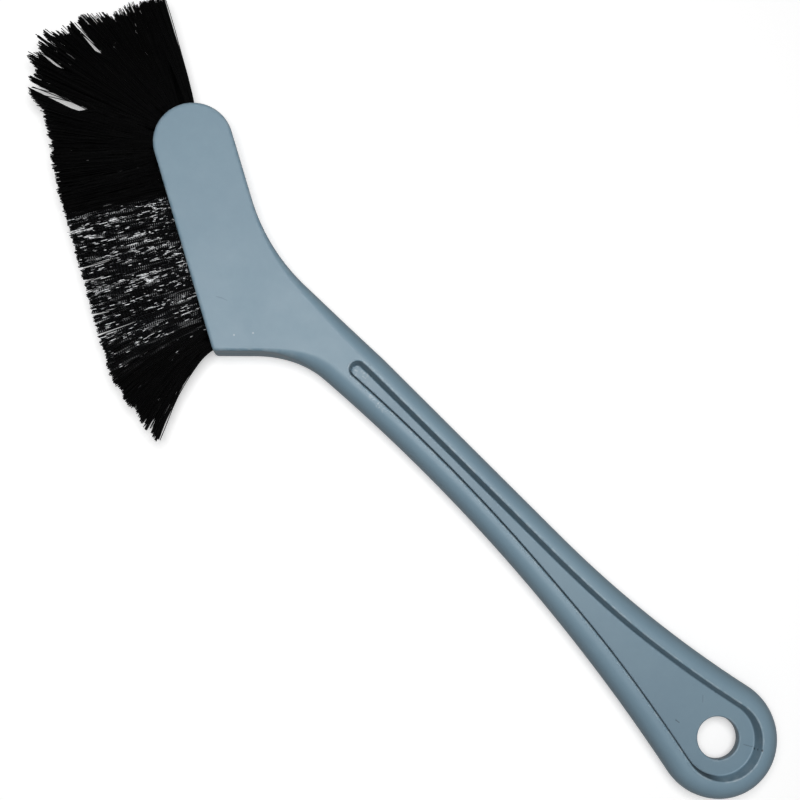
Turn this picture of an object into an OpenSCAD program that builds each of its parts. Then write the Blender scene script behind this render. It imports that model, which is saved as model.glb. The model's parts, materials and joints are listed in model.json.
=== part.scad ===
// Crevice brush: a flat moulded handle whose head leans to one side, with stapled bristle tufts
// along the head's long edge and round its tip. It lies flat. X runs from the hanging hole
// towards the head, Y points to the bristle side and Z is the thickness, with the middle of
// the thickness and the axis of the hanging hole at zero. All sizes are in millimetres.

/* [Thickness and edges] */

// Thickness of the moulded body
body_t = 11; // [9:0.5:14]
// Height of the straight band left at mid thickness by the rounded handle sides
side_band = 0.8; // [0.4:0.1:2]
// Edge radius round the flat head
head_edge_r = 0.8; // [0.4:0.1:1.5]

/* [Handle] */

// Radius of the rounded tail end about the hanging hole
tail_r = 14.2; // [12.5:0.1:18]
// Diameter of the hanging hole
hang_hole_d = 10; // [6:0.5:12]
// Distance from the hanging hole to the narrowest point of the bristle side
waist_x = 94; // [80:1:110]
// Distance from the handle axis to the bristle side at its narrowest point
waist_front = 4.5; // [3.8:0.1:6]
// Distance from the hanging hole to the end of the taper on the back side
taper_x = 60; // [45:1:80]
// Distance from the handle axis to the back side past the taper
waist_back = 7.7; // [7:0.1:9]
// Distance from the hanging hole to where the back side starts to draw in
neck_x = 120; // [112:1:130]
// Angle at which the back side draws in towards the head
neck_turn = 2.2; // [0:0.1:4]
// Radius of the inner curve between handle and heel
neck_front_r = 25; // [15:1:32]
// Radius of the inner curve between the back side and the head
neck_back_r = 45; // [25:1:60]

/* [Head] */

// Distance from the hanging hole to the bend of the back side
head_x = 157.7; // [150:0.5:170]
// Angle by which the head leans away from the handle axis
head_angle = 28.3; // [18:0.1:36]
// Width of the head
head_w = 19; // [16:0.5:24]
// Length of the head from its heel to its tip
head_l = 59.2; // [50:0.1:75]
// Distance along the head from the bend of the back side to the heel
heel_back = 19.9; // [15:0.1:24]
// Angle between the heel edge and the handle axis
heel_angle = 45; // [38:1:60]
// Corner radius of the heel, seen from above
heel_r = 1.2; // [0.9:0.1:3]

/* [Finger recess] */

// Depth of the recess in each face of the handle
recess_depth = 4; // [1:0.1:4.2]
// Width by which the recess wall slopes in towards the floor
recess_draft = 0.6; // [0.2:0.1:1]
// Fillet between the recess wall and its floor
recess_fillet = 0.4; // [0.2:0.1:0.6]
// Width of the rim round the tail end
rim_tail = 4.8; // [3.2:0.1:5]
// Width of the rim along the grip
rim_grip = 4.45; // [3.8:0.05:4.6]
// Width of the rim at the closed end of the recess
rim_neck = 4.5; // [4.4:0.1:5.4]
// Width of the flat land between the rounded side and the recess
rim_land = 0.8; // [0.4:0.1:1.5]
// Distance from the hanging hole to the closed end of the recess
recess_end_x = 124; // [110:0.5:128]

/* [Bristles] */

// Bristle length from the long edge of the head to the trimmed ends
trim_side = 24.6; // [15:0.1:32]
// Bristle length from the tip of the head to the trimmed ends
trim_tip = 27; // [15:0.1:34]
// Length of the longest bristles, towards the cut corner between side and tip
bristle_max = 36; // [20:0.5:45]
// Distance by which the fan of bristles reaches back past the heel
heel_fan = 16.5; // [4:0.5:20]
// Length of the head edge whose tufts take part in the fan
heel_fan_l = 17; // [10:0.5:25]
// Slope of the trimmed ends behind the heel
heel_trim_slope = 0.34; // [0:0.02:0.6]
// Distance from the heel to the first tuft
tuft_start = 2; // [1.6:0.1:4]
// Angle past the long side at which the last tuft stands on the tip
tuft_last_angle = 101; // [80:1:110]
// Diameter of a tuft hole
tuft_hole_d = 2; // [1.9:0.05:2.3]
// Depth of a tuft hole in the long edge
tuft_hole_l = 5; // [3.8:0.1:7]
// Distance of each tuft row from the middle of the thickness
tuft_row_z = 1.9; // [1.5:0.1:2.4]
// Thickness of one bristle
bristle_d = 0.34; // [0.24:0.01:0.36]
// Distance of each row's bristle ends from the middle of the thickness
tip_row_z = 2.3; // [2.1:0.1:2.8]
// Half the height over which each row's bristle ends spread
tip_spread_z = 1.8; // [0.9:0.1:1.9]

/* [Anchors] */

// Thickness of the anchor wire that holds a tuft in its hole
anchor_t = 0.35; // [0.25:0.05:0.5]
// Depth of the anchor wire, along the hole
anchor_h = 1.4; // [1:0.1:1.8]
// Length by which each end of an anchor bites into the wall of its hole
anchor_bite = 0.35; // [0.2:0.05:0.5]
// Height of the folded bristles under the anchor
anchor_fold = 0.6; // [0.4:0.1:1]

/* [Clearances] */

// Clearance between a tuft's folded root and the wall of its hole
tuft_clear = 0.04; // [0.02:0.01:0.06]
// Clearance between an anchor and what it is seated in
anchor_clear = 0.03; // [0.02:0.01:0.06]

/* [Hidden] */

half_t = body_t / 2;
overcut = 0.5;
round_fn = 48;
hole_fn = 24;
plug_fn = 8;

// Directions of the head: along it towards its tip, and across it towards the bristles
head_along = [cos(head_angle), -sin(head_angle)];
head_across = [sin(head_angle), cos(head_angle)];
head_r = head_w / 2;

// Key points of the outline
bend = [head_x, -waist_back + tan(neck_turn) * (head_x - neck_x)];
heel = bend - heel_back * head_along + head_w * head_across;
tip_centre = heel + (head_l - head_r) * head_along - head_r * head_across;

// Radius of an arc that touches the tail circle and passes level at distance x and height y
function sweep_r(x, y) = (x * x + y * y - tail_r * tail_r) / (2 * (tail_r - y));
front_sweep_r = sweep_r(waist_x, waist_front);
back_sweep_r = sweep_r(taper_x, waist_back);
front_sweep_c = [waist_x, waist_front + front_sweep_r];
back_sweep_c = [taper_x, -waist_back - back_sweep_r];

// Angles at which the tail circle hands over to the two long sides
front_tail_a = atan2(front_sweep_c[1], front_sweep_c[0]);
back_tail_a = atan2(back_sweep_c[1], back_sweep_c[0]);

// Inner curve between handle and heel: its centre lies one radius outside the heel edge
heel_dir = [cos(heel_angle), sin(heel_angle)];
heel_out = [-sin(heel_angle), cos(heel_angle)];
neck_w = heel + neck_front_r * heel_out - front_sweep_c;
neck_b = neck_w * heel_dir;
neck_root = sqrt(neck_b * neck_b - neck_w * neck_w + pow(front_sweep_r - neck_front_r, 2));
neck_c = heel + neck_front_r * heel_out + heel_dir * (-neck_b - neck_root);
neck_a0 = atan2(neck_c[1] - front_sweep_c[1], neck_c[0] - front_sweep_c[0]);
neck_a1 = heel_angle - 90;
neck_start = neck_c + neck_front_r * [cos(neck_a0), sin(neck_a0)];
neck_end = neck_c + neck_front_r * [cos(neck_a1), sin(neck_a1)];

// Inner curve between the back side and the head, from its two tangents
bend_tangent = neck_back_r * tan((head_angle + neck_turn) / 2);
bend_start = bend - bend_tangent * [cos(neck_turn), sin(neck_turn)];
bend_c = bend_start + neck_back_r * [sin(neck_turn), -cos(neck_turn)];

// Rounded corner of the heel, from its two tangents
heel_tangent = heel_r * tan((heel_angle + head_angle) / 2);
heel_c = heel + heel_tangent * head_along - heel_r * head_across;

// Points on an arc and on a line, each without its first point
function on_circle(c, r, a) = c + r * [cos(a), sin(a)];
function arc(c, r, a0, a1, n) = [for (i = [1:n]) on_circle(c, r, a0 + (a1 - a0) * i / n)];
function line(p, q, n) = [for (i = [1:n]) p + (q - p) * i / n];

// Smooth step from 0 at a to 1 at b
function share(a, b, x) = max(0, min(1, (x - a) / (b - a)));
function ease(a, b, x) = pow(share(a, b, x), 2) * (3 - 2 * share(a, b, x));

// Heights of the two long sides along the grip
function front_y(x) = front_sweep_c[1] - sqrt(pow(front_sweep_r, 2) - pow(x - waist_x, 2));
function taper_y(x) = back_sweep_c[1] + sqrt(pow(back_sweep_r, 2) - pow(x - taper_x, 2));
function straight_y(x) = -waist_back + tan(neck_turn) * max(0, x - neck_x);
function back_y(x) = x < taper_x ? taper_y(x) : straight_y(x);

// The two sides of the outline from tail to tip, with as many points on each
tail_n = 13;
sweep_n = 7;
straight_n = 7;
turn_n = 4;
neck_n = 8;
heel_n = 3;
edge_n = 3;
tip_n = 11;
tip_a = -head_angle;
tail_point = [-tail_r, 0];
front_side = concat(
    [tail_point],
    arc([0, 0], tail_r, 180, front_tail_a, tail_n),
    arc(front_sweep_c, front_sweep_r, front_tail_a + 180, neck_a0 + 360, sweep_n + straight_n + turn_n),
    arc(neck_c, neck_front_r, neck_a0, neck_a1, neck_n),
    [heel - heel_tangent * heel_dir],
    arc(heel_c, heel_r, heel_angle + 90, tip_a + 90, heel_n),
    line(heel + heel_tangent * head_along, tip_centre + head_r * head_across, edge_n),
    arc(tip_centre, head_r, tip_a + 90, tip_a, tip_n)
);
back_side = concat(
    [tail_point],
    arc([0, 0], tail_r, 180, back_tail_a + 360, tail_n),
    arc(back_sweep_c, back_sweep_r, back_tail_a + 180, 90, sweep_n),
    line([taper_x, -waist_back], [neck_x, -waist_back], straight_n),
    line([neck_x, -waist_back], bend_start, turn_n),
    arc(bend_c, neck_back_r, 90 + neck_turn, 90 + tip_a, neck_n + 1 + heel_n),
    line(bend + bend_tangent * head_along, tip_centre - head_r * head_across, edge_n),
    arc(tip_centre, head_r, tip_a - 90, tip_a, tip_n)
);

// Width of the handle's rim at distance x from the hanging hole
function rim(x) =
    rim_tail
    + (rim_grip - rim_tail) * ease(taper_x / 2, taper_x, x)
    + (rim_neck - rim_grip) * ease(waist_x, recess_end_x, x);

// How far the sides are rounded: 1 on the handle and 0 on the head
function front_round(x) = 1 - ease(neck_start[0], neck_end[0], x);
function back_round(x) = 1 - ease(neck_x, bend[0] + bend_tangent * head_along[0], x);

// Joins two sides with shared end points into one closed ring of points
function joined(front, back) = concat(front, [for (i = [len(back) - 2:-1:1]) back[i]]);

outline = joined(front_side, back_side);
rounding = joined([for (p = front_side) front_round(p[0])], [for (p = back_side) back_round(p[0])]);
outline_n = len(outline);

// Outward direction at point i of a closed ring that runs clockwise
function unit(v) = v / norm(v);
function edge_dir(ring, i) = unit(ring[(i + 1) % len(ring)] - ring[i]);
function mean_dir(ring, i) = unit(edge_dir(ring, i) + edge_dir(ring, (i + len(ring) - 1) % len(ring)));
function outward(ring, i) = [-mean_dir(ring, i)[1], mean_dir(ring, i)[0]];
outline_out = [for (i = [0:outline_n - 1]) outward(outline, i)];

// Ring of the rounded side at angle a, from 0 at its foot to 90 at the flat face
function inset_at(i) = head_edge_r + rounding[i] * (rim(outline[i][0]) - rim_land - head_edge_r);
function drop_at(i) = head_edge_r + rounding[i] * (half_t - side_band / 2 - head_edge_r);
function side_point(i, a) = outline[i] - outline_out[i] * inset_at(i) * (1 - cos(a));
function side_height(i, a) = half_t - drop_at(i) * (1 - sin(a));
function side_ring(a, up) = [
    for (i = [0:outline_n - 1])
        let (p = side_point(i, a))
        [p[0], p[1], up * side_height(i, a)]
];

// Faces of a stack of rings, with both caps laid between opposite points of the two sides
function band_faces(n, k) = [
    for (i = [0:n - 1])
        let (j = (i + 1) % n)
        each [[k * n + i, k * n + j, (k + 1) * n + j], [k * n + i, (k + 1) * n + j, (k + 1) * n + i]]
];
function cap_faces(n, k) = [
    for (i = [0:n / 2 - 1])
        let (j = (n - i) % n, m = n - i - 1)
        each i == 0
            ? [[k * n, k * n + 1, k * n + m]]
            : i == n / 2 - 1
                ? [[k * n + i, k * n + i + 1, k * n + j]]
                : [[k * n + i, k * n + i + 1, k * n + m], [k * n + i, k * n + m, k * n + j]]
];
function flipped(faces) = [for (f = faces) [f[2], f[1], f[0]]];

// Closed solid through a list of rings, from the lowest ring to the highest
module ring_stack(rings) {
    n = len(rings[0]);
    top = len(rings) - 1;
    polyhedron(
        points = [for (r = rings) each r],
        faces = concat(
            [for (k = [0:top - 1]) each band_faces(n, k)],
            flipped(cap_faces(n, 0)),
            cap_faces(n, top)
        )
    );
}

// Rounded body without its recesses and holes
side_steps = 4;
module body_blank() {
    ring_stack(concat(
        [for (s = [side_steps:-1:0]) side_ring(90 * s / side_steps, -1)],
        [for (s = [0:side_steps]) side_ring(90 * s / side_steps, 1)]
    ));
}

// Recess outline, drawn in by e from the edge of the rim
recess_tail_n = 10;
recess_side_n = 14;
recess_end_n = 5;
front_tail_x = tail_r * cos(front_tail_a);
back_tail_x = tail_r * cos(back_tail_a);
function recess_front_y(x) = front_y(x) - rim(x);
function recess_back_y(x) = back_y(x) + rim(x);
recess_end_r = (recess_front_y(recess_end_x) - recess_back_y(recess_end_x)) / 2;
recess_stop_x = recess_end_x - recess_end_r;
recess_stop_y = (recess_front_y(recess_stop_x) + recess_back_y(recess_stop_x)) / 2;
recess_stop_r = (recess_front_y(recess_stop_x) - recess_back_y(recess_stop_x)) / 2;
function stations(x0) = [
    for (i = [1:recess_side_n - 1]) x0 + (recess_stop_x - x0) * i / recess_side_n
];
function recess_ring(e, z) =
    let (
        r = tail_r - rim_tail - e,
        stop = [recess_stop_x, recess_stop_y],
        front = concat(
            [[-r, 0]],
            arc([0, 0], r, 180, front_tail_a, recess_tail_n),
            [for (x = stations(front_tail_x)) [x, recess_front_y(x) - e]],
            [on_circle(stop, recess_stop_r - e, 90)],
            arc(stop, recess_stop_r - e, 90, 0, recess_end_n)
        ),
        back = concat(
            [[-r, 0]],
            arc([0, 0], r, 180, back_tail_a + 360, recess_tail_n),
            [for (x = stations(back_tail_x)) [x, recess_back_y(x) + e]],
            [on_circle(stop, recess_stop_r - e, -90)],
            arc(stop, recess_stop_r - e, -90, 0, recess_end_n)
        )
    )
    [for (p = joined(front, back)) [p[0], p[1], z]];

// Cutter of the recess in the upper face, with sloping walls and a filleted floor
floor_z = half_t - recess_depth;
wall_foot = recess_draft * (recess_depth - recess_fillet) / recess_depth;
module recess_cutter() {
    ring_stack([
        recess_ring(wall_foot + recess_fillet, floor_z),
        recess_ring(wall_foot + recess_fillet * (1 - cos(45)), floor_z + recess_fillet * (1 - sin(45))),
        recess_ring(wall_foot, floor_z + recess_fillet),
        recess_ring(-recess_draft * overcut / recess_depth, half_t + overcut)
    ]);
}

// Number of tufts in each row, and their spacing along the edge of the head
upper_n = 16;
lower_n = 15;
edge_l = head_l - head_r;
tuft_end = edge_l + head_r * tuft_last_angle * PI / 180;
tuft_pitch = (tuft_end - tuft_start) / (upper_n - 1);
function upper_s(i) = tuft_start + i * tuft_pitch;
function lower_s(i) = tuft_start + (i + 0.5) * tuft_pitch;

// Angle round the tip at distance s along the edge, and the point of the edge there
function tip_angle(s) = s > edge_l ? (s - edge_l) / head_r * 180 / PI : 0;
function in_head(u, v) = heel + u * head_along + v * head_across;
function edge_point(s) = s > edge_l
    ? in_head(edge_l + head_r * sin(tip_angle(s)), -head_r + head_r * cos(tip_angle(s)))
    : in_head(s, 0);

// Where the bristle rooted at distance s ends on the trimmed outline
reach_side = trim_side + head_r;
reach_tip = trim_tip + head_r;
reach_corner = bristle_max + head_r;
last_drop = 2.2;
fan_power = 1.6;
function fan(s) = heel_fan * pow(1 - share(0, heel_fan_l, s), fan_power);
function trimmed(u) = in_head(u, trim_side + heel_trim_slope * min(0, u));
function reach(a) = min(reach_side / cos(a), reach_tip / sin(a), reach_corner);
function past_tip(a) = last_drop * (a - 90) / (tuft_last_angle - 90);
function end_point(s) =
    let (a = tip_angle(s))
    s <= edge_l ? trimmed(s - fan(s))
    : a < 90 ? in_head(edge_l + reach(a) * sin(a), -head_r + reach(a) * cos(a))
    : in_head(edge_l + reach_tip, -head_r - past_tip(a));

// Direction of the tuft hole at distance s: part of the way from square to its bristles' lean
hole_share = 0.75;
function edge_out(s) = [sin(head_angle + tip_angle(s)), cos(head_angle + tip_angle(s))];
function hole_dir(s) =
    let (lean = unit(end_point(s) - edge_point(s)))
    unit(edge_out(s) * (1 - hole_share) + lean * hole_share);

// Depth of the hole at distance s, kept clear of its neighbours round the tip
tuft_wall = 0.3;
function tip_hole_l(s) = head_r * (1 - (tuft_hole_d + tuft_wall) / tuft_pitch);
function hole_l(s) = s > edge_l - tuft_hole_l ? min(tuft_hole_l, tip_hole_l(s)) : tuft_hole_l;

// Puts children at the hole at distance s and height z, with +Z out along the hole
module at_hole(s, z) {
    p = edge_point(s);
    d = hole_dir(s);
    translate([p[0], p[1], z])
        rotate([0, 90, atan2(d[1], d[0])])
            children();
}

// Space of one tuft hole, and of the notches that its anchor bites into the walls
module hole_space(s, z) {
    at_hole(s, z)
        translate([0, 0, -hole_l(s)])
            cylinder(h = hole_l(s) + tuft_hole_d, d = tuft_hole_d, $fn = hole_fn);
}
module anchor_shape(s, z, c) {
    at_hole(s, z)
        translate([0, 0, -hole_l(s) + anchor_fold + anchor_h / 2])
            cube([tuft_hole_d + 2 * anchor_bite + 2 * c, anchor_t + 2 * c, anchor_h + 2 * c], center = true);
}

// Moulded body: handle and head in one piece
module handle() {
    color("LightSlateGray")
        difference() {
            body_blank();
            recess_cutter();
            mirror([0, 0, 1])
                recess_cutter();
            translate([0, 0, -half_t])
                cylinder(h = body_t, d = hang_hole_d, $fn = round_fn);
            for (i = [0:upper_n - 1]) {
                hole_space(upper_s(i), tuft_row_z);
                anchor_shape(upper_s(i), tuft_row_z, anchor_clear);
            }
            for (i = [0:lower_n - 1]) {
                hole_space(lower_s(i), -tuft_row_z);
                anchor_shape(lower_s(i), -tuft_row_z, anchor_clear);
            }
        }
}

// Places of the bristles in a tuft: one in the middle and two circles round it
inner_n = 3;
outer_n = 7;
inner_share = 0.49;
plug_r = tuft_hole_d / 2 - tuft_clear;
root_margin = 0.03;
root_r = plug_r - bristle_d / 2 - root_margin;
places = concat(
    [[0, 0]],
    [for (i = [0:inner_n - 1]) on_circle([0, 0], inner_share, 360 * i / inner_n)],
    [for (i = [0:outer_n - 1]) on_circle([0, 0], 1, 360 * (i + 0.5) / outer_n)]
);

// One bristle: a three-sided rod in two lengths, bent towards its trimmed end
root_sink = 0.4;
elbow_share = 0.45;
tip_spread = 0.44;
ragged = 0.9;
module bristle(s, row, place, cut) {
    d = hole_dir(s);
    b = [d[1], -d[0]];
    root = edge_point(s) + b * root_r * place[0];
    target = end_point(s + place[0] * tip_spread * tuft_pitch);
    end = target - unit(target - root) * cut;
    elbow = root + d * elbow_share * norm(end - root);
    mid = (root + 2 * elbow + end) / 4;
    z0 = row * (tuft_row_z + root_r * place[1]);
    z1 = row * (tip_row_z + tip_spread_z * place[1]);
    start = root - d * root_sink;
    centres = [
        [start[0], start[1], z0],
        [mid[0], mid[1], (z0 + z1) / 2],
        [end[0], end[1], z1]
    ];
    side = [b[0], b[1], 0] * bristle_d / 2;
    lift = [0, 0, bristle_d / 2];
    polyhedron(
        points = [for (c = centres) each [for (a = [90, 210, 330]) c + side * cos(a) + lift * sin(a)]],
        faces = concat([[2, 1, 0]], [for (k = [0, 1]) each rod_faces(3 * k)], [[6, 7, 8]])
    );
}
function rod_faces(k) = [
    for (i = [0:2])
        let (j = (i + 1) % 3)
        each [[k + i, k + j, k + 3 + j], [k + i, k + 3 + j, k + 3 + i]]
];

// One tuft: bristles fused to their folded root, which the anchor passes through
module tuft(s, row, seed) {
    cuts = rands(0, ragged, len(places), seed);
    color("Black")
        union() {
            difference() {
                at_hole(s, row * tuft_row_z)
                    translate([0, 0, tuft_clear - hole_l(s)])
                        cylinder(h = hole_l(s) - tuft_clear, r = plug_r, $fn = plug_fn);
                anchor_shape(s, row * tuft_row_z, anchor_clear);
            }
            for (i = [0:len(places) - 1])
                bristle(s, row, places[i], cuts[i]);
        }
}
module tuft_upper(i) {
    tuft(upper_s(i - 1), 1, i);
}
module tuft_lower(i) {
    tuft(lower_s(i - 1), -1, 100 + i);
}

// Anchor wires, one for each tuft, set across their holes
module anchors_upper() {
    color("Silver")
        for (i = [0:upper_n - 1])
            anchor_shape(upper_s(i), tuft_row_z, 0);
}
module anchors_lower() {
    color("Silver")
        for (i = [0:lower_n - 1])
            anchor_shape(lower_s(i), -tuft_row_z, 0);
}

handle();
tuft_upper(1);  // tuft_upper_01
tuft_upper(2);  // tuft_upper_02
tuft_upper(3);  // tuft_upper_03
tuft_upper(4);  // tuft_upper_04
tuft_upper(5);  // tuft_upper_05
tuft_upper(6);  // tuft_upper_06
tuft_upper(7);  // tuft_upper_07
tuft_upper(8);  // tuft_upper_08
tuft_upper(9);  // tuft_upper_09
tuft_upper(10);  // tuft_upper_10
tuft_upper(11);  // tuft_upper_11
tuft_upper(12);  // tuft_upper_12
tuft_upper(13);  // tuft_upper_13
tuft_upper(14);  // tuft_upper_14
tuft_upper(15);  // tuft_upper_15
tuft_upper(16);  // tuft_upper_16
tuft_lower(1);  // tuft_lower_01
tuft_lower(2);  // tuft_lower_02
tuft_lower(3);  // tuft_lower_03
tuft_lower(4);  // tuft_lower_04
tuft_lower(5);  // tuft_lower_05
tuft_lower(6);  // tuft_lower_06
tuft_lower(7);  // tuft_lower_07
tuft_lower(8);  // tuft_lower_08
tuft_lower(9);  // tuft_lower_09
tuft_lower(10);  // tuft_lower_10
tuft_lower(11);  // tuft_lower_11
tuft_lower(12);  // tuft_lower_12
tuft_lower(13);  // tuft_lower_13
tuft_lower(14);  // tuft_lower_14
tuft_lower(15);  // tuft_lower_15
anchors_upper();
anchors_lower();
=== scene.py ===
"""Crevice brush: a flat moulded handle with a leaning head and stapled black bristles.

Every size is in millimetres in the frame of the CAD model: X runs from the hanging hole towards
the head, Y points to the bristle side and Z is the thickness. Meshes are made in metres.
"""

import json
import logging
import math
from collections.abc import Callable
from dataclasses import dataclass, field
from enum import Enum
from functools import cached_property, reduce

import bmesh
import bpy
from mathutils import Matrix, Vector
from mathutils.geometry import tessellate_polygon

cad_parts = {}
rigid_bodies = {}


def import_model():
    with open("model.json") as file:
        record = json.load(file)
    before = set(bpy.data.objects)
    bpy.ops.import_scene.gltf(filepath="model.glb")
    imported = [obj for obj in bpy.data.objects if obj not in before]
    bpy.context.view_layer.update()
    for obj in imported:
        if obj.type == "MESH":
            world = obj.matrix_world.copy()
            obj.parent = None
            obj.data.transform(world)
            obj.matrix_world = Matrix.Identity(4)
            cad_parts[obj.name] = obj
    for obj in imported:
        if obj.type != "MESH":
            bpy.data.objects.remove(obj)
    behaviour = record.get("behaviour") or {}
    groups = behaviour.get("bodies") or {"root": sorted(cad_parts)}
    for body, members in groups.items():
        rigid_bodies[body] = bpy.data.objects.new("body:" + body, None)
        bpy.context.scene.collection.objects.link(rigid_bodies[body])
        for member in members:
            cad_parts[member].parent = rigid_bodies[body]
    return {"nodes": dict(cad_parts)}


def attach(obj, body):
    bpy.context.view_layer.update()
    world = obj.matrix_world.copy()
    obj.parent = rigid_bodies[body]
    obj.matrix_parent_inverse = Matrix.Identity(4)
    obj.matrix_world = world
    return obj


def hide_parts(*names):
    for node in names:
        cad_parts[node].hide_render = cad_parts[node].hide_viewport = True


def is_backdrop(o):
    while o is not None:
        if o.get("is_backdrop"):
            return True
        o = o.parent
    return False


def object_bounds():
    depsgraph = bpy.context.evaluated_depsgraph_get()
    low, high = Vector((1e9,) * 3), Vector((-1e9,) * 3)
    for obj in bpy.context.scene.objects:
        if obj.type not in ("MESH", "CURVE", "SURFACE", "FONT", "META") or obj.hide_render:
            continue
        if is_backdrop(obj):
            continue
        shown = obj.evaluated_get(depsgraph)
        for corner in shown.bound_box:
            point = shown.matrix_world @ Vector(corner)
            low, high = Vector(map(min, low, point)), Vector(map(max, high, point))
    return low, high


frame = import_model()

LOG = logging.getLogger("crevice_brush")
MM = 0.001
BODY = "root"
PLASTIC_IOR = 1.49
WHITE = (1.0, 1.0, 1.0, 1.0)
Span = tuple[float, float]
Place = tuple[float, float, float]
Colour = tuple[float, float, float, float]
Inputs = dict[str | int, object]


# Small helpers


def on_circle(centre: Vector, radius: float, degrees: float) -> Vector:
    """Returns the point of a circle at an angle in degrees."""
    a = math.radians(degrees)
    return centre + radius * Vector((math.cos(a), math.sin(a)))


def arc(centre: Vector, radius: float, start: float, end: float, count: int) -> list[Vector]:
    """Points on an arc, without its first point.

    Args:
        centre: Centre of the arc.
        radius: Radius of the arc.
        start: First angle, in degrees.
        end: Last angle, in degrees.
        count: Number of points.

    Returns:
        The points, the last of them at the end angle.
    """
    return [on_circle(centre, radius, start + (end - start) * i / count) for i in range(1, count + 1)]


def line(start: Vector, end: Vector, count: int) -> list[Vector]:
    """Returns evenly spaced points on a line, without its first point."""
    return [start.lerp(end, i / count) for i in range(1, count + 1)]


def share(low: float, high: float, value: float) -> float:
    """Returns how far a value lies from low to high, kept between 0 and 1."""
    return max(0.0, min(1.0, (value - low) / (high - low)))


def ease(low: float, high: float, value: float) -> float:
    """Returns a smooth step from 0 at low to 1 at high."""
    t = share(low, high, value)
    return t * t * (3 - 2 * t)


def across_of(direction: Vector) -> Vector:
    """Returns a flat direction turned by a quarter turn clockwise."""
    return Vector((direction.y, -direction.x))


def quarter(steps: int) -> list[float]:
    """Returns the angles of a quarter turn, in degrees, from 0 to 90."""
    return [90 * i / steps for i in range(steps + 1)]


def quarter_round(radius: float, steps: int) -> list[tuple[float, float, float]]:
    """Lists the points of a rounded edge.

    Args:
        radius: Radius of the rounding.
        steps: Number of its faces.

    Returns:
        The angle of each point in degrees, with radius less its cosine and less its sine.
    """
    turns = [(a, math.radians(a)) for a in quarter(steps)]
    return [(a, radius * (1 - math.cos(turn)), radius * (1 - math.sin(turn))) for a, turn in turns]


# The plan of the brush


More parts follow.
